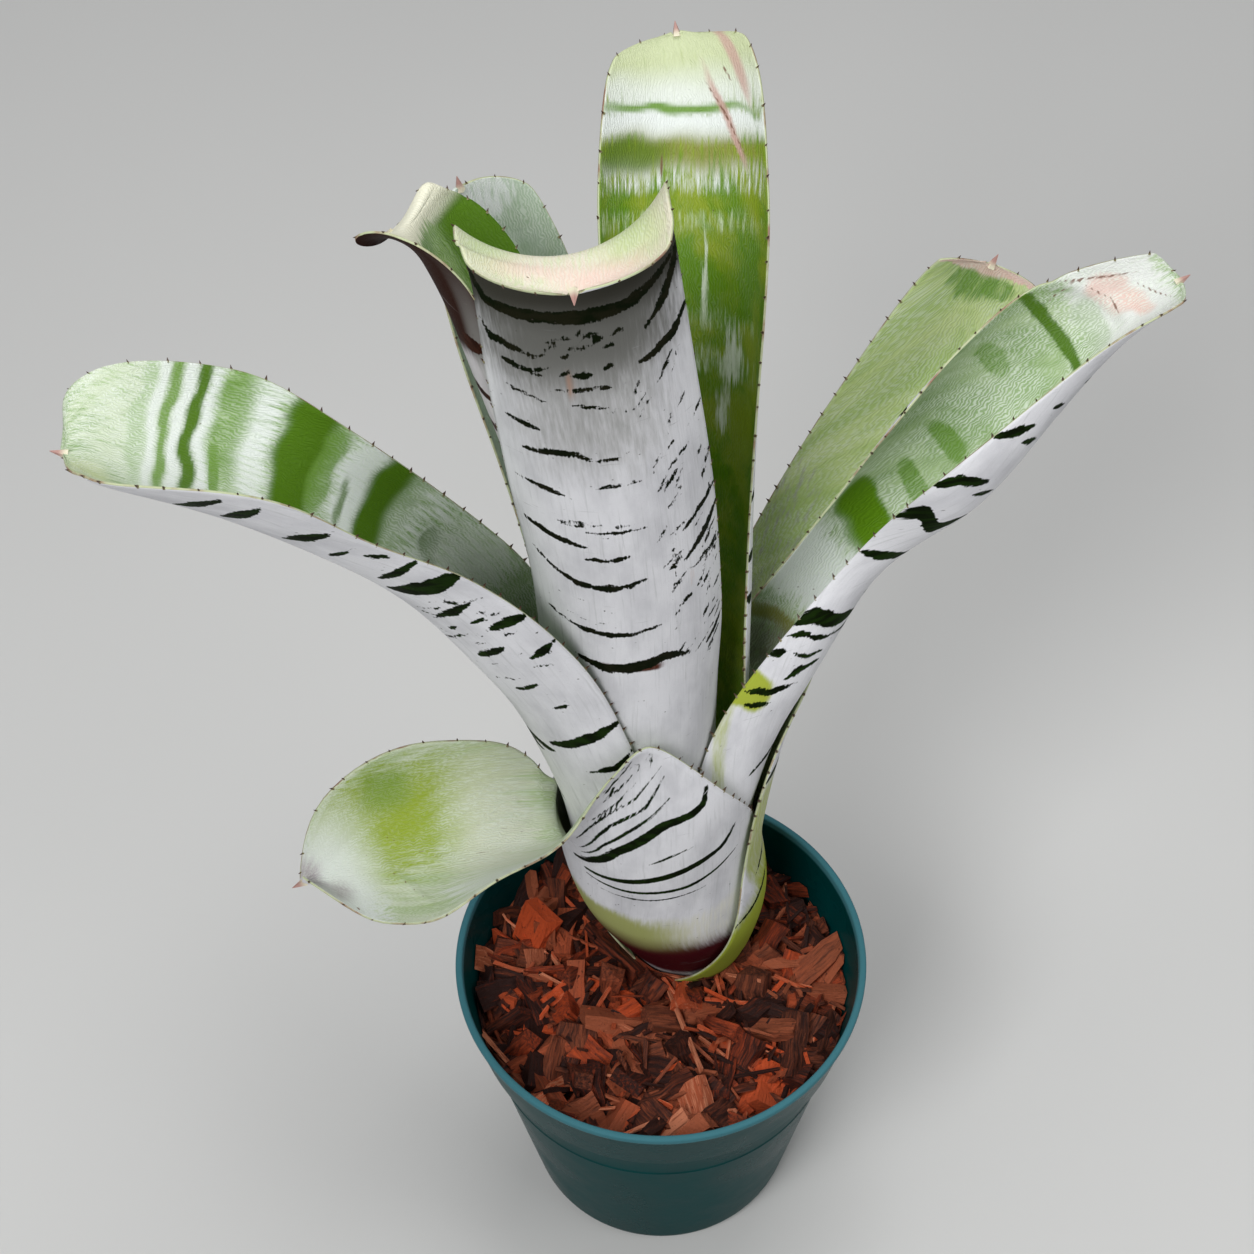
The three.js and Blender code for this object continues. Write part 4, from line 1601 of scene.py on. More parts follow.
    def bed_profile(self) -> list[Spot]:
        """Make the bed's section, from the middle of its foot to the middle of its top.

        Returns:
            The section's points, as radius and height.
        """
        pot = self.pot
        low = pot.height - pot.band
        inset = pot.wall + self.gap
        foot = pot.floor + self.gap
        return [
            (0.0, foot),
            (pot.wall_radius(0) - pot.foot_round - inset, foot),
            (pot.wall_radius(pot.foot_round) - inset, pot.floor + pot.foot_round + self.gap),
            (pot.wall_radius(low) - inset, low - 1.0),
            (pot.wall_radius(low) + pot.step - inset, low + 2.0),
            (self.inner_radius(self.bed), self.bed),
            (0.0, self.bed),
        ]

    def heap_up(self, bm: bmesh.types.BMesh) -> None:
        """Scatter the chips over the bed, the slivers mostly on top.

        Args:
            bm: The mesh that they are added to.
        """
        source = random.Random(self.seed)
        for i in range(self.count):
            layer = i / self.count
            out = self.reach * math.sqrt((i * self.spread_out) % 1.0)
            bearing = math.tau * ((i * self.spread_round) % 1.0)
            x = out * math.cos(bearing) + source.uniform(-self.scatter, self.scatter)
            y = out * math.sin(bearing) + source.uniform(-self.scatter, self.scatter)
            weights = [share + rise * layer for share, rise in self.mixture]
            kind = source.choices(list(ChipKind), weights=weights)[0]
            height = self.surface(x, y) + layer * self.pile - self.sunk
            height += source.uniform(-self.bounce, self.bounce)
            if math.hypot(x - self.stem[0], y - self.stem[1]) < self.stem_clear - self.scatter:
                continue
            # A random tone of the chip's own, darkened lower in the heap as painted shade.
            tone = source.choice(self.tones) * (self.shaded_tone_least + self.shaded_tone_rise * layer)
            tone += source.uniform(-self.tone_spread, self.tone_spread)
            self.chip(bm, source, kind, Vector((x, y, height)), tone)

    def build(self) -> None:
        """Make the filling and set it on the frame."""
        bark = turned("bark_chips", self.bed_profile(), self.bed_sides)
        drill(bark, [
            Hole(*self.stem, self.hole_radius, self.hole_bottom, self.hole_top),
            Hole(*self.stem, self.stem_radius, self.stem_bottom, self.stem_top),
        ])
        bm = bmesh.new()
        bm.from_mesh(bark.data)
        self._tone = bm.verts.layers.float.new("tone")
        self._grain = bm.verts.layers.float_vector.new("grain")
        for vertex in bm.verts:
            vertex[self._grain] = vertex.co / MM
            vertex[self._tone] = self.bed_shaded_tone
        self.heap_up(bm)
        bmesh.ops.recalc_face_normals(bm, faces=bm.faces)
        for face in bm.faces:
            face.smooth = False
        bm.to_mesh(bark.data)
        bm.free()
        dress(bark, BarkGrain())
        place(bark, "bark", "bark_mulch")
        LOG.info("bark: %d faces", len(bark.data.polygons))


# ---------------------------------------------------------------------------
# Studio
# ---------------------------------------------------------------------------


@dataclass(frozen=True)
class Lamp:
    """A soft square lamp: where it hangs, what it points at, its side and its power in watts."""

    name: str
    spot: Triple
    aim: Triple
    size: float
    power: float

    def hang(self) -> None:
        """Put the lamp into the scene."""
        light = bpy.data.lights.new(self.name, "AREA")
        light.shape = "SQUARE"
        light.size = self.size
        light.energy = self.power
        lamp = bpy.data.objects.new(self.name, light)
        lamp.location = self.spot
        heading = Vector(self.aim) - Vector(self.spot)
        lamp.rotation_euler = heading.to_track_quat("-Z", "Y").to_euler()
        bpy.context.scene.collection.objects.link(lamp)


@dataclass
class Studio:
    """The pale floor, the soft lights and the camera; sizes in metres."""

    camera_place: Triple = (0.0, -0.520, 0.975)
    look_down: float = 50.8
    lens: float = 72.6
    sensor: float = 36.0
    shift: float = -0.0271
    floor_size: float = 4.0
    sky: Colour = (0.86, 0.88, 0.90)
    sky_strength: float = 0.20
    lamps: tuple[Lamp, ...] = (
        Lamp("lamp_key", (-0.7, -1.2, 1.7), (0.0, 0.0, 0.25), 0.8, 24.0),
        Lamp("lamp_fill", (1.3, -0.7, 1.2), (0.0, 0.0, 0.25), 1.0, 6.0),
        Lamp("lamp_top", (0.1, 0.3, 1.9), (0.0, 0.0, 0.2), 1.0, 15.0),
    )

    def floor(self) -> None:
        """Lay the floor."""
        bm = bmesh.new()
        bmesh.ops.create_grid(bm, x_segments=8, y_segments=8, size=self.floor_size / 2)
        floor = piece_of(bm, "studio_floor")
        dress(floor, FloorPaint())
        floor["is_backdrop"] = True

    def surroundings(self) -> None:
        """Light the room softly from all sides."""
        world = bpy.data.worlds.new("soft_room")
        world.use_nodes = True
        sky = world.node_tree.nodes["Background"].inputs
        sky["Color"].default_value = (*self.sky, 1.0)
        sky["Strength"].default_value = self.sky_strength
        bpy.context.scene.world = world

    def camera(self) -> None:
        """Set up the camera at the photograph's angle."""
        data = bpy.data.cameras.new("photo_camera")
        data.sensor_width = self.sensor
        data.lens = self.lens
        data.shift_x = self.shift
        camera = bpy.data.objects.new("photo_camera", data)
        camera.location = self.camera_place
        camera.rotation_euler = (math.radians(90 - self.look_down), 0.0, 0.0)
        bpy.context.scene.collection.objects.link(camera)
        bpy.context.scene.camera = camera

    def build(self) -> None:
        """Set up floor, lights, surroundings and camera."""
        self.floor()
        for lamp in self.lamps:
            lamp.hang()
        self.surroundings()
        self.camera()
        bpy.context.scene.view_settings.view_transform = "Standard"
        LOG.info("studio ready")


# ---------------------------------------------------------------------------
# The plant's own leaves
# ---------------------------------------------------------------------------

WHITE: Colour = (0.76, 0.80, 0.78)
CREAM: Colour = (0.80, 0.78, 0.62)
YELLOW_GREEN: Colour = (0.36, 0.42, 0.05)
OLIVE: Colour = (0.24, 0.25, 0.05)
LEAF_GREEN: Colour = (0.15, 0.29, 0.045)
DEEP_GREEN: Colour = (0.075, 0.17, 0.008)
MAROON: Colour = (0.065, 0.006, 0.010)
PINK: Colour = (0.74, 0.50, 0.44)
GREY: Colour = (0.34, 0.34, 0.33)
# Red-brown of the recurved leaf's own, made near black as painted shade.
SHADED_RED_BROWN: Colour = (0.028, 0.007, 0.004)
FOLD_BROWN: Colour = (0.52, 0.32, 0.28)
RUST: Colour = (0.50, 0.20, 0.08)

LEAVES = (
    Leaf(
        name="leaf_right_outer", slot="leaf_pale_green", azimuth=30, layer=0, spread=2.7,
        wraps=(350, 280, 225, 160), turns=(20, 35, 32, 15), free=(4, 6), apex=0.99,
        blade=(
            (46, -1, 229, 37, 146, 0, 9.5, 0), (56, -4.5, 262, 27, 128, 18, 11, 0),
            (75.5, -3.5, 300, 25, 72, 4, 9.5, 30), (94.5, -5.5, 337, 29, 54, 22, 7.5, 32),
            (113, -3.5, 374, 38, 40, 45, 5, 24), (130, -2, 410, 49, 48, 65, 3, 0),
        ),
        inner=InnerSkin("frosted_lime", (0.52, 0.63, 0.27), (0.36, 0.5, 0.15), frosting=0.38),
        strokes=drawn((4.0, (153, -1.0), (148, -0.6)), (4.0, (134, -1.0), (137, -0.6))),
        rules=(StrokeRule(3, 26, (60, 300), (-1.0, 0.2), (10, 26), (1.6, 4.5), 4.0),),
        outer_patches=(
            Patch((20, -0.2), (48, 90), YELLOW_GREEN, 0.9),
            Patch((95, -0.8), (40, 12), YELLOW_GREEN, 0.6), Patch((2, 0.0), (12, 90), MAROON, 0.9),
        ),
        inner_patches=(
            Patch((323, 0.15), (9, 10), LEAF_GREEN, 0.75, 0.5),
            Patch((321, -0.35), (4, 6), LEAF_GREEN, 0.6),
            Patch((190, 0.5), (26, 22), GREY, 0.3, 0.5), Patch((329, 0.0), (3, 40), PINK, 0.8),
        ),
    ),
    Leaf(
        name="leaf_front_left_low", slot="leaf_silver", azimuth=200, layer=1, spread=1.8,
        wraps=(310, 310, 302, 275), turns=(0, 0, 1, 12.5), lift=8, free=(5.5, 8), apex=0.86,
        blade=(
            (38, 0.5, 207, 38, 198, 0, 13, 42), (40.5, -2, 213, 29, 150, -4, 15, 68),
            (41.5, 4, 216, 31, 92, -10, 9.5, 56), (43, 9, 218, 35, 72, -15, 3, 36),
            (50, 11, 220, 38, 88, -17, 0, 28), (69.5, 10, 225, 38, 118, -26, -1, 26),
            (96, 5.5, 230, 38, 126, -28, 1, 10), (119, 0, 235, 32, 112, -24, 4.5, 0),
            (136, -5.5, 238, 34, 36, -18, 8, 6),
        ),
        outer=OuterSkin("silver_scurf_low", teeth=0.45, sway=0.3),
        inner=InnerSkin(
            "frosted_white_green", (0.62, 0.68, 0.5), (0.42, 0.54, 0.26), frosting=0.55,
        ),
        strokes=drawn(
            (
                4.2, (105, 0.03), (109, 0.22), (111, 0.4), (111, 0.53), (111, 0.7), (110, 0.83),
                (110, 0.9), (111, 0.98),
            ),
            (3.8, (102, 0.1), (102, 0.3), (102, 0.5), (102, 0.63), (102, 0.8), (104, 0.92)),
            (2.2, (99, 0.1), (97, 0.3), (96, 0.57), (97, 0.73), (98, 0.85)),
            (1.2, (94, 0.15), (92.5, 0.4), (93, 0.7)),
            (1.5, (116, 0.23), (116, 0.4), (115, 0.55), (114, 0.7), (114, 0.93)),
            (1.7, (113, 0.17), (114, 0.4), (114, 0.5), (113, 0.7), (113.5, 0.9)),
            (1.6, (111, 0.13), (112.6, 0.37), (112.5, 0.53), (112.2, 0.7), (112.3, 0.83)),
            (1.4, (117, 0.63), (116, 0.7), (115.6, 0.77), (115, 0.9)),
            (1.3, (117, 0.47), (116, 0.53), (115, 0.63), (114.7, 0.8)),
            (1.4, (108, 0.1), (110, 0.22), (111.8, 0.4)),
            (1.2, (118, 0.75), (116.8, 0.85), (116.6, 0.95)),
            (1.5, (106.5, 0.5), (106.5, 0.6), (106, 0.72)),
        ),
        rules=(StrokeRule(5, 8, (114, 118), (0.72, 0.96), (2, 5), (0.8, 1.4), 0.3),),
        outer_patches=(
            Patch((66, 0.2), (14, 30), (0.36, 0.38, 0.14), 0.85, 0.5),
            Patch((70, 0.75), (12, 24), CREAM, 0.4, 0.6),
            Patch((38, 0.2), (19, 90), MAROON, 1.0, 0.55),
        ),
        inner_patches=(
            Patch((177, -0.3), (30, 22), (0.31, 0.41, 0.03), 1.0, 0.8, 0.5),
            Patch((183, -0.6), (8, 8), LEAF_GREEN, 0.5, 0.6),
            Patch((144, 0.1), (16, 40), (0.7, 0.72, 0.6), 0.7, 0.7),
            Patch((208, 0.55), (15, 26), WHITE, 0.85, 0.6),
            Patch((222, -0.2), (8, 30), WHITE, 0.7, 0.7),
            Patch((150, 0.75), (22, 10), WHITE, 0.6, 0.7),
            Patch((214, 0.1), (3, 5), (0.3, 0.22, 0.27), 0.7, 0.9),
            Patch((208, 0.5), (4, 4), (0.3, 0.24, 0.27), 0.7, 0.9),
            Patch((216, -0.7), (3, 4), (0.34, 0.26, 0.3), 0.6, 0.9),
        ),
        creases=(
            Crease(((204, -0.4), (192, 0.0), (183, 0.27), (176, 0.6)), 0.5, 1.8),
            Crease(((200, -0.43), (180, -0.07), (164, 0.17)), 0.4, 1.5),
        ),
        inner_marks=drawn(
            (0.8, (204, -0.4), (192, 0.0), (183, 0.27), (176, 0.6)), (2.0, (207, 0.93), (205, 0.8)),
            (0.7, (200, -0.43), (180, -0.07), (164, 0.17), (145, 0.13)),
            (0.5, (153, -0.15), (140, -0.1), (129, -0.03)),
        ),
    ),
    Leaf(
        name="leaf_right_long", slot="leaf_silver", azimuth=2, layer=2, spread=0.4,
        wraps=(300, 260, 220, 169), turns=(0, 8, 13, 18.5), free=(4, 6), apex=0.99,
        blade=(
            (39, -0.5, 229, 33, 180, -1, 10.5, 0), (53, 6, 264, 21, 224, -8, 2.5, 0),
            (78, 2.5, 311, 11, 272, 1, 13, 17), (111.5, -2.5, 347, 18, 284, 11, 17, 11),
            (137.5, -3, 375, 18, 226, 5, 18.5, 6), (160.5, 3, 396, 18, 148, -5, 16.5, 3),
            (180, 15.5, 410, 17, 84, 2, 12.5, 0),
        ),
        inner=InnerSkin("frosted_sage", (0.38, 0.5, 0.26), (0.22, 0.35, 0.12), frosting=0.72),
        strokes=drawn(
            (7.0, (198, -1.0), (203, -0.85), (203, -0.6), (206, -0.3)),
            (2.6, (193, -1.0), (196, -0.85), (196, -0.6), (200, -0.3)),
            (3.4, (186, -1.0), (189, -0.88)), (2.2, (189, -0.83), (189, -0.65), (191, -0.5)),
            (3.0, (180, -0.7), (184, -0.63), (187, -0.45)),
            (3.2, (173, -0.97), (175, -0.77), (179, -0.55)), (2.8, (169, -0.9), (171, -0.7)),
            (5.4, (229, -0.95), (233, -0.7), (238, -0.4)),
            (6.0, (247, -1.0), (256, -0.87), (252, -0.65), (262, -0.5)),
            (4.6, (266, -1.0), (273, -0.9), (278, -0.7)), (3.0, (271, -0.7), (275, -0.55)),
            (4.0, (291, -1.0), (296, -0.9), (301, -0.8)), (3.0, (294, -0.75), (297, -0.6)),
            (2.6, (309, -0.8), (311, -0.7)), (3.0, (320, -0.62), (324, -0.5)),
        ),
        rules=(StrokeRule(8, 26, (90, 340), (-0.4, 1.0), (12, 30), (1.6, 5.0), 4.0),),
        outer_patches=(
            Patch((10, -0.2), (40, 90), YELLOW_GREEN, 0.8),
            Patch((174, -0.97), (6, 9), YELLOW_GREEN, 0.9),
            Patch((165, -1.0), (50, 3), YELLOW_GREEN, 0.5, 0.6),
        ),
        inner_patches=(
            Patch((227, 0.5), (9.5, 12), (0.11, 0.24, 0.008), 1.0, 0.2, 0.15),
            Patch((178, 0.75), (4, 14), OLIVE, 0.95, 0.6, 0.15),
            Patch((163, 0.6), (11, 26), (0.24, 0.26, 0.16), 0.7, 0.4),
            # White frost of the leaf's own, made stronger as painted light where the leaf's curl
            # shades it.
            Patch((201, 0.55), (15, 24), WHITE, 0.9, 0.5),
            Patch((270, 0.3), (4, 9), LEAF_GREEN, 0.85),
            Patch((250, 0.28), (4, 8), LEAF_GREEN, 0.75),
            Patch((320, 0.4), (2.4, 30), DEEP_GREEN, 0.95, 0.4),
            Patch((300, 0.58), (4, 8), LEAF_GREEN, 0.6),
            Patch((344, 0.0), (16, 40), (0.7, 0.71, 0.69), 0.85, 0.4),
            Patch((331, 0.2), (5, 10), LEAF_GREEN, 0.5),
            Patch((343, 0.45), (6, 9), (0.68, 0.5, 0.45), 1.0, 0.2, -0.4),
            Patch((347, 0.1), (3, 7), PINK, 0.9, 0.3, -0.3),
        ),
        inner_marks=drawn(
            (1.0, (329, 1.0), (335, 0.87), (345, 0.75), (353, 0.67)),
            (0.9, (335, 0.87), (341, 0.4), (340, -0.1)), (1.0, (350, 0.5), (353, 0.2), (358, -0.4)),
            (0.8, (335, 0.87), (328, 0.8), (321, 0.7)),
        ),
        creases=(Crease(((329, 1.0), (338, 0.6), (342, 0.0)), 1.2, 2.5),),
    ),
    Leaf(
        name="leaf_left_long", slot="leaf_silver", azimuth=188, layer=3, spread=0.0,
        wraps=(300, 260, 220, 178), turns=(2, 2, 7, 13), free=(4, 6), apex=0.985,
        blade=(
            (37, -1, 230, 32, 180, 0, 13, 1), (49, -4.5, 274, 31, 170, 8, 10, 7),
            (65.5, -4.5, 311, 26, 192, 2, 7, 13), (85.5, -6.5, 346, 25, 184, 4, 6.5, 6),
            (110.5, -5, 376, 28, 168, 4, 4.5, 0), (138, -3, 399, 38, 138, 8, 3, 5),
            (169, -2, 418, 41, 96, 6, 1.5, 3), (178.5, 10.5, 422, 47, 36, 19, -2.5, 0),
        ),
        inner=InnerSkin("banded_green", (0.34, 0.48, 0.22), (0.2, 0.34, 0.1), frosting=0.7),
        strokes=drawn(
            (5.4, (174, 0.4), (177, 0.67), (181, 1.0)), (3.4, (163, 0.62), (165, 0.85), (170, 1.0)),
            (2.8, (205, 0.47), (205, 0.7)), (2.0, (193, 0.6), (193, 0.75)),
            (4.2, (226, 0.45), (226, 0.68)), (4.8, (237, 0.72), (235, 0.88), (233, 1.0)),
            (3.6, (216, 0.77), (216, 1.0)), (9.5, (274, 0.5), (268, 0.75), (265, 1.0)),
            (4.6, (252, 0.5), (252, 0.84)), (1.8, (243, 0.66), (243, 0.82)),
            (1.6, (236, 0.2), (239, 0.5)), (4.6, (282, 0.6), (281, 1.0)),
            (3.0, (296, 0.85), (289, 0.95)), (2.4, (303, 0.65), (301, 0.9)),
            (5.5, (318, 0.6), (311, 0.9)), (5.5, (336, 0.6), (331, 0.9)),
            (5.0, (349, 0.6), (341, 0.9)),
        ),
        rules=(
            StrokeRule(14, 26, (110, 360), (-0.9, 0.2), (12, 30), (1.8, 5.5), -4.0),
            StrokeRule(15, 34, (206, 262), (0.3, 0.95), (2, 7), (0.5, 1.1), -1.0),
        ),
        inner_patches=(
            *stripes(
                -0.5, 38, 0.7, (364, 16, (0.6, 0.68, 0.5), 0.7), (320, 6, WHITE, 0.75),
                (285, 8, WHITE, 0.85), (338, 2.5, WHITE, 0.8), (347, 2.5, WHITE, 0.9),
                (355.5, 2.0, WHITE, 0.8), (255, 8, WHITE, 0.5),
            ),
            *stripes(
                -0.5, 34, 0.35, (306, 7.5, DEEP_GREEN, 1.0), (273, 6.5, DEEP_GREEN, 1.0),
                (342.5, 2.4, DEEP_GREEN, 0.95), (351.5, 2.2, LEAF_GREEN, 0.9),
                (359.5, 2.2, (0.34, 0.48, 0.24), 0.8),
            ),
            Patch((297, -0.6), (4, 16), LEAF_GREEN, 0.8),
            Patch((288, -0.42), (1.6, 9), DEEP_GREEN, 0.8),
            Patch((330, -0.6), (6, 22), LEAF_GREEN, 0.6, 0.4),
            Patch((333, -0.2), (2, 12), LEAF_GREEN, 0.8),
            Patch((265, -0.6), (4, 26), (0.3, 0.42, 0.22), 0.7, 0.5),
            Patch((248, -0.6), (4, 6), DEEP_GREEN, 0.8),
            Patch((244, -0.45), (2.5, 3), DEEP_GREEN, 0.9),
            Patch((375, 0.55), (7, 12), (0.5, 0.58, 0.26), 0.7, 0.5),
            Patch((228, -0.3), (18, 40), (0.58, 0.63, 0.56), 0.75, 0.6),
        ),
    ),
    Leaf(
        name="leaf_front", slot="leaf_silver", azimuth=270, layer=4, spread=0.0,
        wraps=(230, 224, 200, 172), turns=(-5, -6, -10, -14), free=(4, 6), apex=0.945,
        blade=(
            (31, -4.5, 230, 28, 172, 0, -10.5, 0), (28, -8, 285, 30, 164, 0, -1.5, 0),
            (28, -9, 340, 34, 130, 0, 0, 0), (30, -13, 395, 38, 112, 2, 1.5, 0),
            (29, -17.5, 446, 38, 108, 6, 0, 2), (26, -21, 483, 38, 102, 7, 0, 3),
            (28, -22.5, 501, 38, 104, 12, 0, 0), (36, -22, 504, 40, 94, 6, 0, -1),
            (44.5, -21.5, 503, 42, 72, 4, 0, 1),
        ),
        outer=OuterSkin("silver_scurf_front", ink_green=(0.01, 0.01, 0.004)),
        inner=InnerSkin("cream_lip", (0.66, 0.64, 0.46), (0.5, 0.58, 0.3), frosting=0.3),
        strokes=drawn(
            (3.4, (287, -0.87), (285, -0.6), (282, -0.27)),
            (3.2, (271, -0.85), (262, -0.42), (261, -0.1), (265, 0.2)),
            (1.7, (290, -0.25), (290, 0.27)), (2.0, (276, -0.3), (276, -0.05), (278, 0.1)),
            (2.6, (240, -0.75), (237, -0.4), (236, -0.1), (240, 0.3)),
            (5.4, (221, -0.45), (218, -0.2), (220, 0.1), (223, 0.3), (219, 0.55)),
            (2.5, (291, 1.0), (286, 0.77), (281, 0.57)),
            (3.4, (282, 1.0), (275, 0.83), (267, 0.57)), (2.9, (226, 1.0), (217, 0.73)),
            (3.6, (386, 1.0), (379, 0.9), (372, 0.73), (367, 0.53)),
            (3.4, (365, 1.0), (359, 0.8), (357, 0.57), (356, 0.4)),
            (3.0, (375, -1.0), (368, -0.85), (366, -0.6), (364, -0.45)),
            (3.0, (361, -0.75), (359, -0.6), (357, -0.4)), (3.0, (357, -0.13), (357, 0.05)),
            (1.7, (352, -0.3), (351, 0.17)), (2.0, (351, -0.77), (347, -0.4)),
            (1.5, (346, -0.17), (342, 0.2)), (2.0, (338, -0.87), (335, -0.5)),
            (2.8, (325, -0.7), (326, -0.4), (326, -0.23), (322, -0.07)),
            (2.2, (310, -0.85), (309, -0.6), (306, -0.33)),
            (
                5.0, (390, -1.0), (381, -0.87), (379, -0.5), (378, 0.0), (378, 0.35), (380, 0.65),
                (384, 0.95),
            ),
            (0.8, (285, 0.52), (272, 0.45), (262, 0.46), (257, 0.52)),
            (1.2, (257, 0.42), (262, 0.62)),
        ),
        rules=(
            StrokeRule(21, 34, (212, 275), (0.45, 0.95), (3, 9), (0.7, 1.5), 3.0),
            StrokeRule(22, 26, (280, 350), (0.35, 1.0), (3, 9), (0.5, 1.2), 3.0),
            StrokeRule(23, 18, (225, 350), (-0.5, 0.35), (6, 18), (0.4, 0.9), 0.0, 0.8),
            StrokeRule(24, 18, (354, 373), (-0.45, 0.35), (2, 7), (0.9, 2.0), 0.5),
        ),
        outer_patches=(
            # The first three patches darken the face below the lip from grey to near black: mostly
            # painted shade of the lip's overhang, with some darker colour of the leaf's own.
            Patch((344, -0.05), (32, 28), (0.3, 0.3, 0.29), 0.6, 0.8),
            Patch((373, -0.05), (17, 34), (0.11, 0.11, 0.1), 0.8, 0.8),
            Patch((396, 0.0), (18, 48), (0.04, 0.038, 0.03), 0.95, 0.4),
            Patch((353, -0.17), (5, 0.8), RUST, 0.3, 0.6),
            Patch((257, 0.62), (5, 1.0), RUST, 0.35, 0.6, 0.6),
            Patch((219, 0.0), (2.6, 12), (0.08, 0.02, 0.008), 0.8),
        ),
        inner_patches=(
            Patch((410, 0.0), (24, 60), (0.68, 0.63, 0.5), 0.6, 0.4),
            Patch((404, 0.55), (9, 9), (0.42, 0.54, 0.2), 0.7, 0.8),
            Patch((404, -0.75), (10, 8), (0.46, 0.58, 0.26), 0.7, 0.8),
            Patch((417, 0.35), (4, 12), PINK, 0.6, 0.8),
            Patch((412, -0.3), (3, 14), PINK, 0.4, 0.8),
        ),
    ),
    Leaf(
        name="leaf_back_left", slot="leaf_pale_green", azimuth=138, layer=5, spread=0.0,
        wraps=(200, 185, 170, 142), turns=(2, 4.5, 7, 13), free=(4, 6), apex=0.93,
        blade=(
            (31, -0.5, 235, 29, 120, 0, 17, 0), (42, -3, 300, 29, 115, 0, 4.5, 0),
            (57, -3, 352, 30, 122, 0, 0, 0), (74, -4, 402, 32, 112, 0, 0, 0),
            (82, -4, 432, 32, 95, 0, 0, 0), (86, -4, 450, 32, 70, 0, 0, 0),
        ),
        outer=OuterSkin("silver_mint", (0.7, 0.76, 0.7), (0.58, 0.66, 0.58)),
        inner=InnerSkin("mint_grey", (0.44, 0.56, 0.42), (0.34, 0.47, 0.3), frosting=0.6),
        rules=(StrokeRule(33, 18, (110, 340), (-0.8, 0.8), (10, 22), (1.4, 4.0)),),
        outer_patches=(Patch((140, 0.0), (60, 60), YELLOW_GREEN, 0.3),),
        inner_patches=(
            Patch((352, 0.0), (9, 18), WHITE, 0.7),
            Patch((330, 0.4), (8, 9), (0.24, 0.38, 0.16), 0.5, 0.6),
        ),
    ),
    Leaf(
        name="leaf_left_recurved", slot="leaf_silver", azimuth=165, layer=6, spread=0.0,
        wraps=(210, 185, 162, 140), turns=(0, 7.5, 16, 25), free=(4, 6), apex=0.93,
        blade=(
            (27, -1, 235, 25, 140, 0, 27, 0), (31, -3.5, 290, 24, 142, 0, 26, 0),
            (37, -4, 340, 25, 142, 0, 24, 0), (46.5, -3, 390, 28, 140, 0, 13, 0),
            (60, 3, 435, 31, 128, 12, 0, 0), (70, 2, 460, 33, 108, 22, 0, 0),
            (76, 1, 469, 34, 80, 20, 0, 0), (81, 1, 466, 34, 56, 16, 0, 0),
        ),
        outer=OuterSkin(
            "silver_brown", (0.66, 0.63, 0.66), (0.5, 0.47, 0.5), (0.02, 0.005, 0.003),
            (0.045, 0.014, 0.008),
        ),
        inner=InnerSkin("deep_leaf_green", (0.2, 0.33, 0.08), (0.1, 0.21, 0.03), frosting=0.25),
        strokes=drawn(
            (4.6, (331, 0.0), (328, 0.7)), (4.0, (316, 0.0), (313, 0.7)),
            (6.0, (350, 0.5), (348, 0.9)),
        ),
        rules=(StrokeRule(41, 14, (200, 310), (-0.9, 0.9), (10, 22), (1.6, 4.5)),),
        outer_patches=(
            # Red-brown of the leaf's own on the curled outer face, made near black as painted
            # shade.
            Patch((368, 0.2), (24, 60), SHADED_RED_BROWN, 1.0, 0.3),
            Patch((340, 0.8), (26, 4), GREY, 0.5, 0.6),
        ),
        inner_patches=(
            Patch((352, -0.8), (26, 13), DEEP_GREEN, 0.95, 0.4),
            Patch((384, -0.1), (11, 44), CREAM, 0.9, 0.5),
            Patch((376, 0.7), (7, 9), (0.46, 0.42, 0.26), 0.6, 0.6),
        ),
    ),
    Leaf(
        name="leaf_back_tall", slot="leaf_green", azimuth=90, layer=7, spread=0.0,
        wraps=(240, 233, 224, 213), turns=(0, 1.5, 4, 8.5), free=(4, 6), apex=0.95,
        blade=(
            (28.5, -6.5, 240, 26, 217, 0, 6.5, 0), (34, -8, 300, 25, 225, 0, 0.5, 0),
            (44, -9, 350, 24, 215, 0, 0, 0), (62, -9, 400, 26, 175, 0, 0, 0),
            (84, -9, 432, 30, 130, 0, 0, 0), (104, -9, 456, 32, 100, 0, 0, 0),
            (116, -7, 466, 34, 62, 0, 0, 0),
        ),
        inner=InnerSkin(
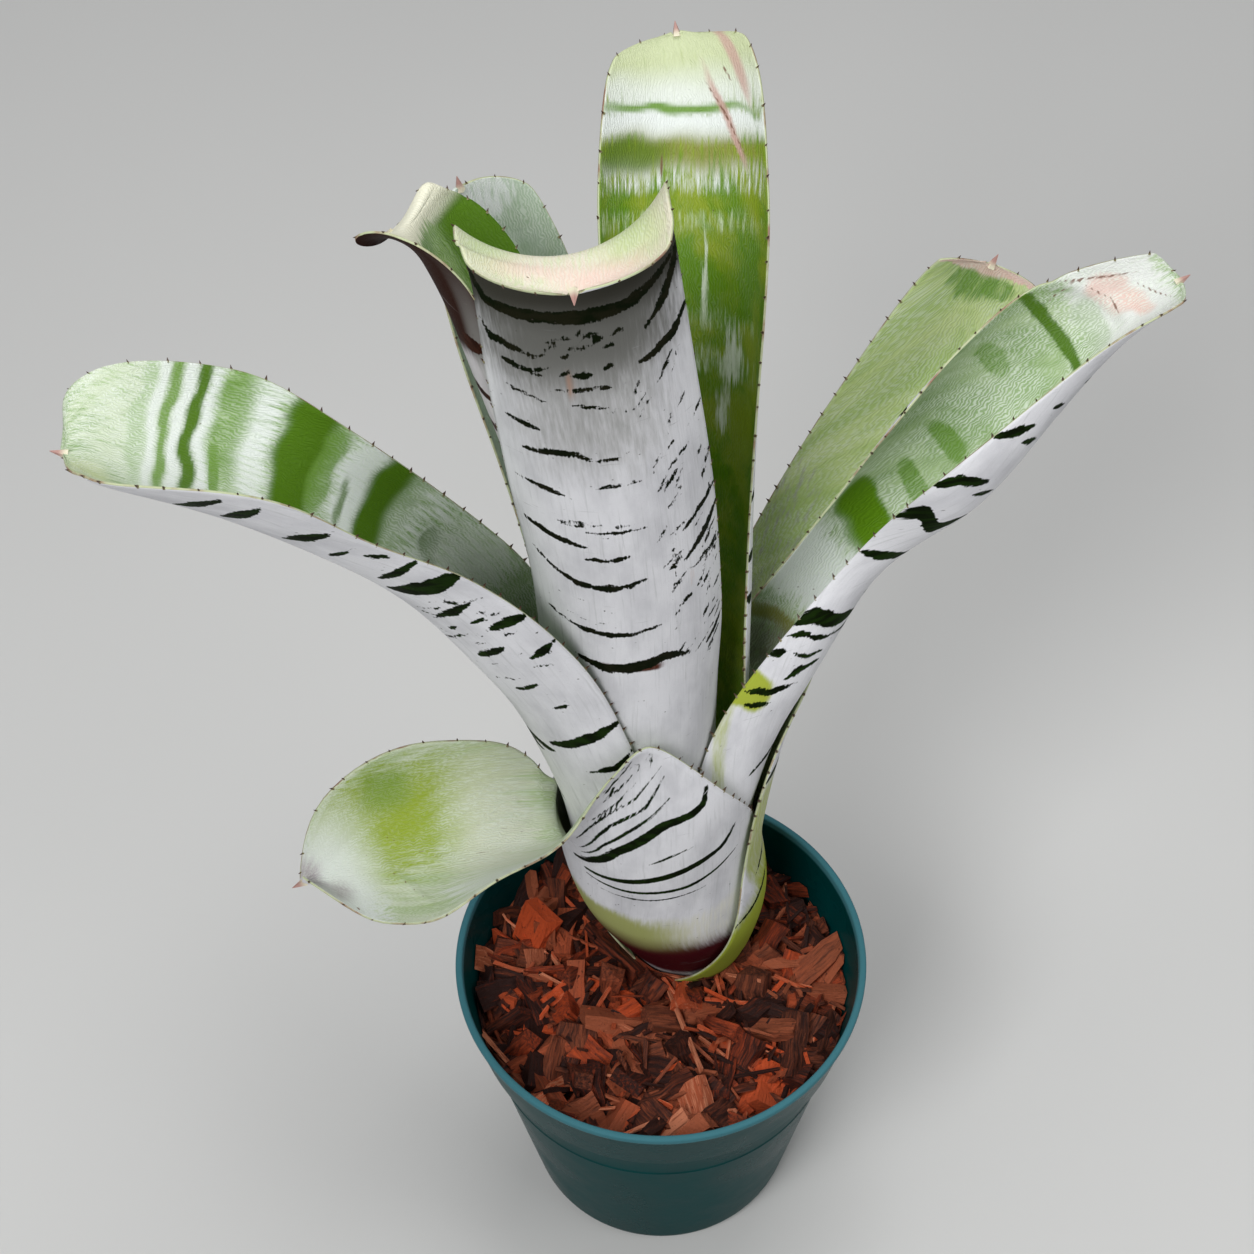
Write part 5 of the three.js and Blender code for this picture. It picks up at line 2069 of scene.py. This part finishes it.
            "bright_leaf_green", (0.25, 0.33, 0.02), (0.11, 0.24, 0.004), frosting=0.08,
        ),
        strokes=drawn((5.0, (230, -1.0), (229, -0.85)), (4.5, (216, -1.0), (212, -0.85))),
        rules=(StrokeRule(52, 30, (110, 370), (-0.8, 0.9), (14, 34), (1.6, 5.0)),),
        inner_patches=(
            Patch((384, 0.0), (14, 40), (0.54, 0.6, 0.36), 0.85, 0.5),
            Patch((371, 0.1), (6, 44), WHITE, 0.7, 0.9),
            *stripes(
                0.1, 44, 0.7, (361.5, 3.8, WHITE, 1.0), (345, 5.0, WHITE, 0.45),
                (331, 4, (0.56, 0.66, 0.44), 0.35), (286, 5, (0.56, 0.66, 0.5), 0.4),
                (300, 4, (0.5, 0.62, 0.4), 0.3),
            ),
            Patch((367, 0.1), (1.4, 26), LEAF_GREEN, 0.95, 0.5),
            Patch((353, 0.0), (6, 30), OLIVE, 0.6, 0.6),
            Patch((352, 0.6), (5, 14), DEEP_GREEN, 0.6, 0.5),
            Patch((312, -0.2), (13, 1.2), (0.66, 0.74, 0.6), 0.7, 0.6),
            Patch((288, -0.45), (9, 4), WHITE, 0.6, 0.7),
            Patch((268, -0.35), (8, 3), WHITE, 0.6, 0.7),
            Patch((363, -0.5), (2.4, 7), FOLD_BROWN, 0.9, 0.4, 1.93),
            Patch((382, -0.7), (3.0, 6), FOLD_BROWN, 0.8, 0.4, 1.8),
        ),
        inner_marks=drawn(
            (1.0, (355, 0.23), (342, 0.2)), (0.9, (376, -0.25), (364, -0.5), (350, -0.72)),
            (0.9, (380, -0.5), (374, -0.6)),
        ),
    ),
)


def corners() -> list[list[float]]:
    """Lowest and highest corner of the whole object."""
    return [list(corner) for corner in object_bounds()]


def main() -> None:
    """Load the frame, build every piece and set up the studio."""
    logging.basicConfig(level=logging.INFO, format="%(message)s")
    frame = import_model()
    Studio().build()
    pot = Pot()
    pot.build()
    Bark(pot).build()
    dress(frame["nodes"]["stem_base"], StemSkin())
    LOG.info("stem dressed")
    for leaf in LEAVES:
        leaf.build()


if __name__ == "__main__":
    main()
